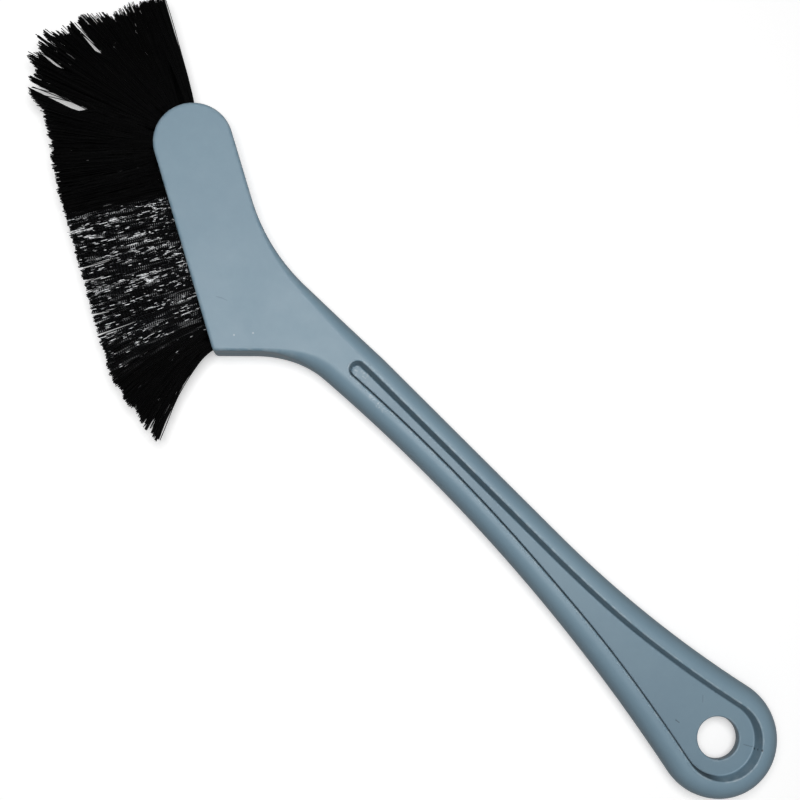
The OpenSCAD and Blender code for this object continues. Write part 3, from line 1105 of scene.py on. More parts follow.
class RingShell:
    """A closed shell made of rings of points, with flat faces between chosen rings."""

    def __init__(self) -> None:
        """Starts an empty shell."""
        self.bm = bmesh.new()
        self.wear = self.bm.verts.layers.float.new("edge_wear")
        # Painted shade of each point, which darkens the recess walls and floors.
        self.shade = self.bm.verts.layers.float.new("shade")

    def ring(self, points: list[Vector], heights: list[float], wear: float = 0.0) -> list[bmesh.types.BMVert]:
        """Adds the points of one ring.

        Args:
            points: Flat points of the ring.
            heights: Height of each point.
            wear: How worn the ring's edge is, from 0 to 1.

        Returns:
            The new vertices in order.
        """
        verts = self.place([(p.x * MM, p.y * MM, z * MM) for p, z in zip(points, heights)])
        for vert in verts:
            vert[self.wear] = wear
        return verts

    def place(self, points: list[Vector] | list[Place]) -> list[bmesh.types.BMVert]:
        """Adds points, given in metres, and returns their vertices in order."""
        return [self.bm.verts.new(point) for point in points]

    def band(self, first: list[bmesh.types.BMVert], second: list[bmesh.types.BMVert]) -> None:
        """Joins two rings with four-sided faces.

        Args:
            first: Vertices of one ring.
            second: Vertices of the other, as many.
        """
        n = len(first)
        for i in range(n):
            j = (i + 1) % n
            self.bm.faces.new((first[i], first[j], second[j], second[i]))

    def stack(self, rings: list[list[bmesh.types.BMVert]]) -> None:
        """Joins each ring to the next."""
        for first, second in zip(rings, rings[1:]):
            self.band(first, second)

    def cap(self, ring: list[bmesh.types.BMVert]) -> None:
        """Closes the shell at a ring with one face."""
        self.bm.faces.new(ring)

    def flat(self, outer: list[bmesh.types.BMVert], inner: list[bmesh.types.BMVert]) -> None:
        """Fills the flat space between two rings.

        Args:
            outer: Vertices of the outer ring.
            inner: Vertices of a ring inside it.
        """
        loops = [[v.co for v in outer], [v.co for v in inner]]
        verts = [*outer, *inner]
        for corners in tessellate_polygon(loops):
            self.bm.faces.new([verts[i] for i in corners])

    def mesh(self, name: str) -> bpy.types.Mesh:
        """Finishes the shell, with its faces turned outwards.

        Args:
            name: Name of the mesh.

        Returns:
            The mesh.
        """
        bmesh.ops.recalc_face_normals(self.bm, faces=self.bm.faces)
        mesh = bpy.data.meshes.new(name)
        self.bm.to_mesh(mesh)
        self.bm.free()
        return mesh


# The moulded body


@dataclass
class MouldedBody:
    """Handle and head in one moulding, with a recess in each face, a hanging hole and tuft holes."""

    plan: BodyPlan
    tail_n: int = 30
    sweep_n: int = 30
    straight_n: int = 24
    turn_n: int = 18
    neck_n: int = 26
    heel_n: int = 8
    edge_n: int = 16
    tip_n: int = 34
    side_steps: int = 12
    recess_tail_n: int = 30
    recess_side_n: int = 72
    recess_end_n: int = 16
    guard: float = 0.12
    # Painted shade laid evenly on the recess floors and the hanging hole's edge.
    floor_shade: float = 0.1
    mouth_r: float = 0.35
    mouth_steps: int = 5
    hole_edge_r: float = 0.4
    hole_n: int = 96
    seam_h: float = 0.05
    seam_w: float = 0.1
    bore_n: int = 32
    bore_lead: float = 0.12
    bore_reach: float = 2.0
    probe: float = 0.01
    sharp_angle: float = 40.0
    side_wear: float = 0.6
    mouth_wear: float = 0.6
    hole_wear: float = 0.5
    # Painted shade on the recess walls: the open side's share, and how it fades at the mouth and at the foot.
    open_shade: float = 0.35
    foot_light: float = 0.8
    worn_angle: float = 60.0
    mouth_fade: Span = (60.0, 100.0)
    foot_fade: Span = (40.0, 90.0)
    hidden_run: Span = (0.65, 0.95)
    open_run: Span = (0.3, 0.9)
    face_weight: int = 100

    def _front(self) -> list[Vector]:
        """Lays out the bristle side of the outline, from tail to tip.

        Returns:
            Its points.
        """
        p = self.plan
        a0 = p.tail_angles[0]
        centre, radius = p.front_sweep
        neck_c, neck_a0, neck_a1 = p.neck
        tangent = p.heel_r * math.tan(math.radians(p.heel_angle + p.head_angle) / 2)
        heel_c = p.heel + tangent * p.head_along - p.heel_r * p.head_across
        a = math.radians(p.heel_angle)
        heel_start = p.heel - tangent * Vector((math.cos(a), math.sin(a)))
        return [
            Vector((-p.tail_r, 0)),
            *arc(Vector((0, 0)), p.tail_r, 180, a0, self.tail_n),
            *arc(centre, radius, a0 + 180, neck_a0 + 360, self.sweep_n + self.straight_n + self.turn_n),
            *arc(neck_c, p.neck_front_r, neck_a0, neck_a1, self.neck_n),
            heel_start,
            *arc(heel_c, p.heel_r, p.heel_angle + 90, 90 - p.head_angle, self.heel_n),
            *line(p.heel + tangent * p.head_along, p.tip_centre + p.head_r * p.head_across, self.edge_n),
            *arc(p.tip_centre, p.head_r, 90 - p.head_angle, -p.head_angle, self.tip_n),
        ]

    def _back(self) -> list[Vector]:
        """Lays out the back side of the outline, from tail to tip.

        Returns:
            Its points, as many as on the bristle side.
        """
        p = self.plan
        a0 = p.tail_angles[1]
        centre, radius = p.back_sweep
        turn = math.radians(p.neck_turn)
        start = p.bend - p.bend_tangent * Vector((math.cos(turn), math.sin(turn)))
        bend_c = start + p.neck_back_r * Vector((math.sin(turn), -math.cos(turn)))
        level = -p.waist_back
        return [
            Vector((-p.tail_r, 0)),
            *arc(Vector((0, 0)), p.tail_r, 180, a0 + 360, self.tail_n),
            *arc(centre, radius, a0 + 180, 90, self.sweep_n),
            *line(Vector((p.taper_x, level)), Vector((p.neck_x, level)), self.straight_n),
            *line(Vector((p.neck_x, level)), start, self.turn_n),
            *arc(bend_c, p.neck_back_r, 90 + p.neck_turn, 90 - p.head_angle, self.neck_n + 1 + self.heel_n),
            *line(
                p.bend + p.bend_tangent * p.head_along,
                p.tip_centre - p.head_r * p.head_across,
                self.edge_n,
            ),
            *arc(p.tip_centre, p.head_r, -90 - p.head_angle, -p.head_angle, self.tip_n),
        ]

    def _recess(self, inset: float) -> list[Vector]:
        """Outline of the recess, drawn in from the edge of the rim.

        Args:
            inset: Distance by which it is drawn in; a negative one lets it out.

        Returns:
            A closed ring of points.
        """
        p = self.plan
        wide = p.front_y(p.recess_end_x) - p.back_y(p.recess_end_x) - 2 * p.rim(p.recess_end_x)
        stop_x = p.recess_end_x - wide / 2

        def side(tail_a: float, height: Callable[[float], float], up: int) -> list[Vector]:
            """Lays out one long side of the recess, which lies a rim's width inside the body's.

            Args:
                tail_a: Angle at which the tail circle ends.
                height: Gives the height of the body's side.
                up: 1 on the bristle side and -1 on the back side.

            Returns:
                The points, from the tail on.
            """
            points = [
                Vector((-(p.tail_r - p.rim_tail - inset), 0)),
                *arc(Vector((0, 0)), p.tail_r - p.rim_tail - inset, 180, tail_a, self.recess_tail_n),
            ]
            x0 = p.tail_r * math.cos(math.radians(tail_a))
            for i in range(1, self.recess_side_n + 1):
                x = x0 + (stop_x - x0) * i / self.recess_side_n
                slope = (height(x + self.probe) - height(x - self.probe)) / (2 * self.probe)
                out = Vector((-slope, 1)).normalized() * up
                points.append(Vector((x, height(x))) - out * (p.rim(x) + inset))
            return points

        front = side(p.tail_angles[0], p.front_y, 1)
        back = side(p.tail_angles[1] + 360, p.back_y, -1)
        centre = (front[-1] + back[-1]) / 2
        radius = (front[-1] - back[-1]).length / 2
        lean = math.degrees(math.atan2(front[-1].y - centre.y, front[-1].x - centre.x))
        end = arc(centre, radius, lean, lean - 180, 2 * self.recess_end_n)[:-1]
        return [*front, *end, *reversed(back[1:])]

    def _side_rings(self, shell: RingShell) -> list[list[bmesh.types.BMVert]]:
        """Adds the rounded sides, from the lower flat face to the upper one.

        Args:
            shell: Shell that the rings go into.

        Returns:
            The rings in order, with the raised parting line in the middle.
        """
        p = self.plan
        front, back = self._front(), self._back()
        neck_c, neck_a0, neck_a1 = p.neck
        neck_start = on_circle(neck_c, p.neck_front_r, neck_a0).x
        neck_end = on_circle(neck_c, p.neck_front_r, neck_a1).x
        bend_end = p.bend.x + p.bend_tangent * p.head_along.x
        rounding = [1 - ease(neck_start, neck_end, q.x) for q in front]
        rounding += [1 - ease(p.neck_x, bend_end, q.x) for q in back[-2:0:-1]]
        outline = [*front, *back[-2:0:-1]]
        n = len(outline)
        edges = [(outline[(i + 1) % n] - outline[i]).normalized() for i in range(n)]
        means = [(edges[i] + edges[i - 1]).normalized() for i in range(n)]
        outward = [Vector((-m.y, m.x)) for m in means]
        edge_r = p.head_edge_r
        insets = [edge_r + r * (p.rim(q.x) - p.rim_land - edge_r) for r, q in zip(rounding, outline)]
        drops = [edge_r + r * (p.half_t - p.side_band / 2 - edge_r) for r in rounding]

        def ring(degrees: float, up: int) -> list[bmesh.types.BMVert]:
            """Adds a ring of the rounding.

            Args:
                degrees: Angle of the rounding, from 0 at the side to 90 at the flat face.
                up: 1 above the middle and -1 below it.

            Returns:
                Its vertices.
            """
            c, s = math.cos(math.radians(degrees)), math.sin(math.radians(degrees))
            points = [q - o * i * (1 - c) for q, o, i in zip(outline, outward, insets)]
            wear = self.side_wear * max(0.0, math.sin(math.radians(2 * degrees)))
            verts = shell.ring(points, [up * (p.half_t - d * (1 - s)) for d in drops])
            for vert, r in zip(verts, rounding):
                vert[shell.wear] = wear * (1 - r)
            return verts

        def seam(offset: float, height: float) -> list[bmesh.types.BMVert]:
            """Adds a ring of the parting line."""
            return shell.ring([q + o * offset for q, o in zip(outline, outward)], [height] * n)

        def flat_ring(up: int) -> list[bmesh.types.BMVert]:
            """Adds an unworn ring on the flat face, just inside the rounding."""
            points = [q - o * (i + self.guard) for q, o, i in zip(outline, outward, insets)]
            return shell.ring(points, [up * p.half_t] * n)

        lower = [flat_ring(-1), *[ring(a, -1) for a in reversed(quarter(self.side_steps))]]
        middle = [
            seam(0, -self.seam_w),
            seam(self.seam_h, -self.seam_w / 2),
            seam(self.seam_h, self.seam_w / 2),
            seam(0, self.seam_w),
        ]
        return [*lower, *middle, *[ring(a, 1) for a in quarter(self.side_steps)], flat_ring(1)]

    def _shades(self) -> list[float]:
        """Works out the painted shade of each part of the recess's wall, most where the rim hides it.

        Returns:
            A value from 0 to 1 for each point of the recess's outline.
        """
        points = self._recess(0)
        shades = []
        for i in range(len(points)):
            run = (points[(i + 1) % len(points)] - points[i - 1]).normalized()
            hidden, open_side = ease(*self.hidden_run, run.x), ease(*self.open_run, -run.x)
            shades.append(min(1.0, self.open_shade * open_side + hidden))
        return shades

    def _recess_rings(self, shell: RingShell, up: int) -> tuple[list, list]:
        """Adds the wall of a recess and the floor down to the hanging hole, with the painted shade of each
        ring.

        Args:
            shell: Shell that the rings go into.
            up: 1 for the upper face and -1 for the lower.

        Returns:
            The ring at the mouth and the ring at the hole's edge.
        """
        p = self.plan
        top, floor = p.half_t, p.half_t - p.recess_depth
        foot = p.recess_draft * (p.recess_depth - p.recess_fillet) / p.recess_depth
        # Each level is an inset, a height, a wear and the painted shade of the wall there.
        levels = [(-self.mouth_r - self.guard, top, 0.0, 0.0)]
        for a, down, out in quarter_round(self.mouth_r, self.mouth_steps):
            worn = 1.0 if a < self.worn_angle else self.mouth_wear
            levels.append((-out, top - down, worn, ease(*self.mouth_fade, a)))
        for a, inwards, up_wall in quarter_round(p.recess_fillet, self.mouth_steps):
            dark = 1 - self.foot_light * ease(*self.foot_fade, a)
            levels.append((foot + inwards, floor + up_wall, 0.0, dark))
        levels.append((foot + p.recess_fillet + self.guard, floor, 0.0, 0.0))
        rings, shades = [], self._shades()
        for inset, z, wear, depth in levels:
            points = self._recess(inset)
            rings.append(shell.ring(points, [up * z] * len(points), wear))
            for vert, shade in zip(rings[-1], shades):
                vert[shell.shade] = depth * shade
        # The floor at the wall's foot gets the even painted shade of the floor.
        for vert in rings[-1]:
            vert[shell.shade] = self.floor_shade
        shell.stack(rings)
        radius = p.hang_hole_d / 2
        steps = [(self.hole_edge_r + self.guard, 0.0, 0.0)]
        for _, down, out in quarter_round(self.hole_edge_r, self.mouth_steps):
            steps.append((out, down, self.hole_wear))
        edge = []
        angles = [360 * i / self.hole_n for i in range(self.hole_n)]
        for out, down, wear in steps:
            points = [on_circle(Vector((0, 0)), radius + out, angle) for angle in angles]
            edge.append(shell.ring(points, [up * (floor - down)] * self.hole_n, wear))
            # The hanging hole's edge gets the same painted shade as the floor.
            for vert in edge[-1]:
                vert[shell.shade] = self.floor_shade
        shell.stack(edge)
        shell.flat(rings[-1], edge[0])
        return rings[0], edge[-1]

    def _bores(self) -> bpy.types.Object:
        """Makes the cutter of all the tuft holes, each with a small lead at its mouth.

        Returns:
            The cutter.
        """
        p = self.plan
        shell = RingShell()
        radius, lead = p.tuft_hole_d / 2, 2 * self.bore_lead
        spokes = [2 * math.pi * i / self.bore_n for i in range(self.bore_n)]
        for row in Row:
            for index in range(row.count(p)):
                s = row.place(p, index)
                axis = p.hole_dir(s).to_3d()
                mouth = p.edge_point(s).to_3d() + Vector((0, 0, row.side * p.tuft_row_z))
                side, up = Vector((axis.y, -axis.x, 0)), Vector((0, 0, 1))
                bore = [(radius, -p.hole_depth(s)), (radius, -lead)]
                flared = [(radius + lead, lead), (radius + lead, self.bore_reach)]
                rings = []
                for r, t in bore + flared:
                    around = [mouth + axis * t + (side * math.cos(a) + up * math.sin(a)) * r for a in spokes]
                    rings.append(shell.place([point * MM for point in around]))
                shell.stack(rings)
                shell.cap(rings[0])
                shell.cap(rings[-1])
        return show("bores", shell.mesh("bores"))

    def build(self) -> bpy.types.Object:
        """Builds the moulding.

        Returns:
            The finished piece.
        """
        shell = RingShell()
        sides = self._side_rings(shell)
        shell.stack(sides)
        edges = []
        for up, flat_ring in ((-1, sides[0]), (1, sides[-1])):
            mouth, edge = self._recess_rings(shell, up)
            shell.flat(flat_ring, mouth)
            edges.append(edge)
        shell.band(*edges)
        blank = show("blank", shell.mesh("blank"))
        bores = self._bores()
        cut = blank.modifiers.new("tuft_holes", "BOOLEAN")
        cut.operation, cut.solver, cut.object = "DIFFERENCE", "EXACT", bores
        bored = show("bored", settled(blank))
        bored.data.shade_smooth()
        bored.data.set_sharp_from_angle(angle=math.radians(self.sharp_angle))
        even = bored.modifiers.new("even_faces", "WEIGHTED_NORMAL")
        even.keep_sharp, even.weight = True, self.face_weight
        piece = show("moulded_body", settled(bored))
        for helper in (blank, bores, bored):
            drop(helper)
        return piece

    def dress(self, piece: bpy.types.Object, finish: SatinPlastic) -> None:
        """Gives the moulding its plastic and puts it in the CAD handle's place.

        Args:
            piece: The moulding.
            finish: Its plastic.
        """
        piece.data.materials.clear()
        piece.data.materials.append(finish.material())
        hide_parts("handle")
        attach(piece, BODY)


# The bristles


class Draw(Enum):
    """What each random number of the bristles is for; the value keeps the draws apart."""

    SIDE_STRAY = 1
    HEIGHT_STRAY = 2
    CUT = 3
    TONE = 4
    WILD = 5
    CLUMP_CUT = 6
    LOOSE = 7
    LOYAL = 8


class TuftTree:
    """Geometry Nodes tree of one tuft: filaments folded under their anchor and trimmed at the ends.

    Each filament is a run of stations. The first lies in the fold, the second beside the anchor
    wire, and the rest lead from the hole's mouth over an elbow to the trimmed end.
    """

    SPLITS = ("A", "B", "C", "D")
    SPLIT_ENDS = tuple(f"Split {key} {end}" for key in SPLITS for end in ("Start", "End"))
    SPLIT_HALVES = tuple(f"Split {key} Half" for key in SPLITS)
    VECTORS = ("Mouth", "Axis", "Across", "Elbow Axis", "Eye", *SPLIT_ENDS)
    ROOT_SIZES = ("Filament Radius", "Root Radius", "Hole Depth", "Fold Height", "Anchor Height")
    BEND_SIZES = ("Root Height", "End Height", "End Rise", "Elbow Share", "Splay", "Flare")
    END_SIZES = ("Ragged", "Stray", "Wander", "Clumps")
    NUMBERS = (*ROOT_SIZES, *BEND_SIZES, *END_SIZES, *SPLIT_HALVES)
    WHOLE = ("Filaments", "Seed")
    STATIONS = 16
    FIRST = 2
    SIDES = 3
    GOLDEN = 2.39996323
    CROWDING = 1.5
    LOYAL = 0.03
    YIELD = 5.0
    CLOSING = 0.12
    FOLD_GAP, FOLD_WIDTH = 0.08 * MM, 0.3
    ANCHOR_GAP, ANCHOR_WIDTH = 0.33 * MM, 0.6
    GATHERED = 0.3
    CLUMP_CUT = 0.6
    LEAST_STRAY, WILD, WILD_POWER = 0.5, 4.0, 14.0
    HEIGHT_STRAY = 0.3
    LOOSE = (0.4, 1.3)
    SWAY_STEP, SWAY_WAVES = 5.13, 3.0

    def __init__(self) -> None:
        """Builds the tree."""
        self.tree = bpy.data.node_groups.new("tuft_of_bristles", "GeometryNodeTree")
        self.bench = NodeBench(self.tree)
        face = self.tree.interface
        for names, kind in (
            (("Trim Line",), "Geometry"),
            (self.VECTORS, "Vector"),
            (self.NUMBERS, "Float"),
            (self.WHOLE, "Int"),
            (("Material",), "Material"),
        ):
            for name in names:
                face.new_socket(name, in_out="INPUT", socket_type=f"NodeSocket{kind}")
        face.new_socket("Geometry", in_out="OUTPUT", socket_type="NodeSocketGeometry")
        sockets = self.bench.add("NodeGroupInput").outputs
        self.given = {socket.name: Wire(self.bench, socket) for socket in sockets if socket.name}
        self._grow()

    def _random(self, low: float, high: float, key: Wire, draw: Draw) -> Wire:
        """Draws a fixed random number for each filament or clump.

        Args:
            low: Least number.
            high: Greatest number.
            key: Number of the filament or clump.
            draw: What the number is for.

        Returns:
            The number.
        """
        inputs = {"ID": key, "Seed": self.given["Seed"] + 1000.0 * draw.value}
        node = self.bench.add("FunctionNodeRandomValue", inputs, data_type="FLOAT")
        limits = {"Min": low, "Max": high}
        for socket in node.inputs:
            if socket.name in limits and socket.type == "VALUE":
                socket.default_value = limits[socket.name]
        return Wire(self.bench, next(o for o in node.outputs if o.type == "VALUE" and o.enabled))

    def _by_station(self, station: Wire, first: Wire, second: Wire, rest: Wire) -> Wire:
        """Picks the place of a station.

        Args:
            station: Number of the station on its filament, from 0.
            first: Place at the fold.
            second: Place beside the anchor.
            rest: Place along the bristle.

        Returns:
            The place that suits the station.
        """
        b = self.bench
        early = {0: b.math("LESS_THAN", station, 0.5), 1: second, 2: first}
        buried = b.out("GeometryNodeSwitch", early, input_type="VECTOR")
        late = {0: b.math("GREATER_THAN", station, self.FIRST - 0.5), 1: buried, 2: rest}
        return b.out("GeometryNodeSwitch", late, input_type="VECTOR")

    def _seen(self, place: Wire) -> Wire:
        """Returns where a place appears on the middle plane, as seen from the eye."""
        eye, z = self.given["Eye"], self.bench.height(place)
        return place + (place - eye) * (z / (self.bench.height(eye) - z))

    def _parted(self, path: Wire, end: Wire, filament: Wire) -> Wire:
        """Bends the bristles aside at the splits, so that one can see through them from the eye.

        Args:
            path: Place of each point of the bristles.
            end: End of each point's filament, which says on what side of a split it belongs.
            filament: Number of each point's filament; a few filaments stay where they are.

        Returns:
            The places with the splits open.
        """
        b, given = self.bench, self.given
        seen, seen_end = self._seen(path), self._seen(end)
        gives_way = b.math("GREATER_THAN", self._random(0, 1, filament, Draw.LOYAL), self.LOYAL)
        for key in self.SPLITS:
            start, half = given[f"Split {key} Start"], given[f"Split {key} Half"]
            run = given[f"Split {key} End"] - start
            out = seen - start
            part = b.math("DIVIDE", out.dot(run), run.dot(run), clamp=True)
            beside = b.vector("NORMALIZE", b.vector("CROSS_PRODUCT", run, (0.0, 0.0, 1.0)))
            side = b.math("SIGN", (seen_end - start).dot(beside))
            off = out.dot(beside) * side
            far = b.most(off, 0.0) / (half * self.YIELD)
            push = half * b.math("SQRT", part) * b.math("SUBTRACT", 1.0, far, clamp=True)
            back = b.most(off * -1.0, 0.0) * b.span(part, 0.0, self.CLOSING)
            path = path + beside * (side * (push + back) * gives_way)
        return path

    def _strands(self) -> Wire:
        """Adds the unplaced filaments.

        Returns:
            A curve of as many stations for each filament.
        """
        b = self.bench
        points = b.out("GeometryNodePoints", {"Count": self.given["Filaments"]})
        line_curve = b.out("GeometryNodeCurvePrimitiveLine")
        even = b.out("GeometryNodeResampleCurve", {"Curve": line_curve, "Count": self.STATIONS})
        spread = b.out("GeometryNodeInstanceOnPoints", {"Points": points, "Instance": even})
        return b.out("GeometryNodeRealizeInstances", {0: spread})

    def _in_hole(self, depth: object, offset: Wire, height: Wire) -> Wire:
        """Finds a place in the hole.

        Args:
            depth: Depth below the mouth.
            offset: Offset across the hole.
            height: Height above the middle plane.

        Returns:
            The place.
        """
        given = self.given
        inwards = given["Axis"] * (depth * -1.0)
        return given["Mouth"] + inwards + given["Across"] * offset + self.bench.xyz(z=height)

    def _end(self, root: Wire, filament: Wire, fanned: Wire, rise: Wire) -> Wire:
        """Finds where each filament ends.

        Args:
            root: Where it leaves the hole.
            filament: Its number.
            fanned: Its place across the tuft's fan, from -1 to 1.
            rise: Its place across the thickness, from -1 to 1.

        Returns:
            The end, on the trim line but for the uneven cut.
        """
        b, given = self.bench, self.given
        clump = b.math("FLOOR", fanned * given["Clumps"] + 0.5)
        fanned_end = fanned * (1 - self.GATHERED) + clump / given["Clumps"] * self.GATHERED
        trim = b.out("GeometryNodeMeshToCurve", {"Mesh": given["Trim Line"]})
        factor = {"Curves": trim, "Factor": 0.5 + fanned_end * 0.5}
        meet = b.out("GeometryNodeSampleCurve", factor, "Position", mode="FACTOR", use_all_curves=True)
        wild = b.math("POWER", self._random(0, 1, filament, Draw.WILD), self.WILD_POWER)
        stray = given["Stray"] * (self.LEAST_STRAY + wild * self.WILD)
        lift = self._random(-self.HEIGHT_STRAY, self.HEIGHT_STRAY, filament, Draw.HEIGHT_STRAY) * stray
        height = given["End Height"] + rise * given["End Rise"] + lift
        aside = given["Across"] * (self._random(-1, 1, filament, Draw.SIDE_STRAY) * stray)
        target = meet + aside + b.xyz(z=height)
        pull = b.vector("NORMALIZE", target - root)
        chance, lot = self._random(0, 1, filament, Draw.CUT), self._random(0, 1, clump, Draw.CLUMP_CUT)
        uneven = chance * chance * (1 - self.CLUMP_CUT) + lot * self.CLUMP_CUT
        return target - pull * (uneven * given["Ragged"])

    def _sway(self, filament: Wire, far: Wire) -> Wire:
        """Lets the filaments wander, more and more towards their ends.

        Args:
            filament: Number of the filament.
            far: How far along it a point is, from 0 to 1.

        Returns:
            The way by which each point leaves its path.
        """
        b, given = self.bench, self.given
        place = b.xyz(filament * self.SWAY_STEP, far * self.SWAY_WAVES, given["Seed"])
        drift = b.noise(place, 1.0, 1.0, output="Color")
        return (drift - 0.5) * (given["Wander"] * b.math("SQRT", far))

    def _tubes(self, flow: Wire, marks: dict[str, Wire]) -> None:
        """Gives the filaments their thickness and material, and ends the tree.

        Args:
            flow: The placed filaments.
            marks: Numbers to store along them, by name.
        """
        b, given = self.bench, self.given
        for name, value in marks.items():
            inputs = {"Geometry": flow, "Name": name}
            store = b.add("GeometryNodeStoreNamedAttribute", inputs, data_type="FLOAT", domain="POINT")
            b.feed(next(s for s in store.inputs if s.name == "Value" and s.enabled), value)
            flow = Wire(b, store.outputs[0])
        circle = {"Resolution": self.SIDES, "Radius": given["Filament Radius"]}
        profile = b.out("GeometryNodeCurvePrimitiveCircle", circle)
        tube = b.out("GeometryNodeCurveToMesh", {"Curve": flow, "Profile Curve": profile, "Fill Caps": True})
        plain = b.out("GeometryNodeRealizeInstances", {0: tube})
        coated = b.out("GeometryNodeSetMaterial", {"Geometry": plain, "Material": given["Material"]})
        b.add("NodeGroupOutput", {0: coated})

    def _grow(self) -> None:
        """Adds the nodes that lay, thicken and finish the filaments."""
        b, given = self.bench, self.given
        strands = self._strands()
        index = b.out("GeometryNodeInputIndex")
        filament = b.math("FLOOR", (index + 0.5) / float(self.STATIONS))
        station = index - filament * float(self.STATIONS)
        last = float(self.STATIONS - 1 - self.FIRST)
        run = b.math("DIVIDE", station - float(self.FIRST), last, clamp=True)

        radius = b.math("SQRT", (filament + 0.5) / given["Filaments"])
        turn = filament * self.GOLDEN + given["Seed"]
        side, rise = radius * b.math("COSINE", turn), radius * b.math("SINE", turn)
        half = b.math("SIGN", side)
        level = given["Root Height"] + rise * given["Root Radius"]
        wide = side * given["Root Radius"]
        fold_depth = given["Hole Depth"] - given["Fold Height"] * 0.5
        flank_depth = given["Hole Depth"] - (given["Fold Height"] + given["Anchor Height"] * 0.5)
        fold = self._in_hole(fold_depth, half * self.FOLD_GAP + wide * self.FOLD_WIDTH, level)
        flank = self._in_hole(flank_depth, half * self.ANCHOR_GAP + wide * self.ANCHOR_WIDTH, level)
        root = self._in_hole(0.0, wide, level)

        chord = b.math("SQRT", 1.0 - side * side)
        fanned = (b.math("ARCSINE", side) + side * chord) * (2 / math.pi)
        end = self._end(root, filament, fanned, rise)
        reach = b.vector("LENGTH", end - root)
        loose = fanned * self._random(*self.LOOSE, filament, Draw.LOOSE) * given["Splay"]
        elbow = root + given["Elbow Axis"] * (reach * given["Elbow Share"]) + given["Across"] * loose
        far = b.math("POWER", run, self.CROWDING)
        back = 1.0 - far
        flare = fanned * given["Flare"] * (b.math("MULTIPLY", run, last, clamp=True) * back)
        path = root * (back * back) + elbow * (back * far * 2.0) + end * (far * far) + given["Across"] * flare
        path = self._parted(path + self._sway(filament, far), end, filament)
        position = self._by_station(station, fold, flank, path)
        placed = b.out("GeometryNodeSetPosition", {"Geometry": strands, "Position": position})
        tone = self._random(0.0, 1.0, filament, Draw.TONE)
        self._tubes(placed, {"along": far * reach / MM, "tone": tone})

    def grow(self, name: str, trim: list[Vector], values: dict[str, object]) -> bpy.types.Object:
        """Grows one tuft.

        Args:
            name: Name of the piece.
            trim: Points of the line to which its ends are trimmed.
            values: Value of each named input.

        Returns:
            The tuft as a plain mesh object.
        """
        line_mesh = bpy.data.meshes.new("trim_line")
        links = [(i, i + 1) for i in range(len(trim) - 1)]
        line_mesh.from_pydata([tuple(point) for point in trim], links, [])
        host = show("host", line_mesh)
        modifier = host.modifiers.new("tuft", "NODES")
        modifier.node_group = self.tree
        for item in self.tree.interface.items_tree:
            if item.item_type == "SOCKET" and item.in_out == "INPUT" and item.name in values:
                modifier[item.identifier] = values[item.name]
        mesh = settled(host)
        host.modifiers.remove(modifier)
        drop(host)
        mesh.name = name
        mesh.shade_smooth()
        return show(name, mesh)


@dataclass(frozen=True)
class Split:
    """A split in the brush, from its closed end to its open one, in the head's frame."""

    start: tuple[float, float]
    end: tuple[float, float]
    half: float


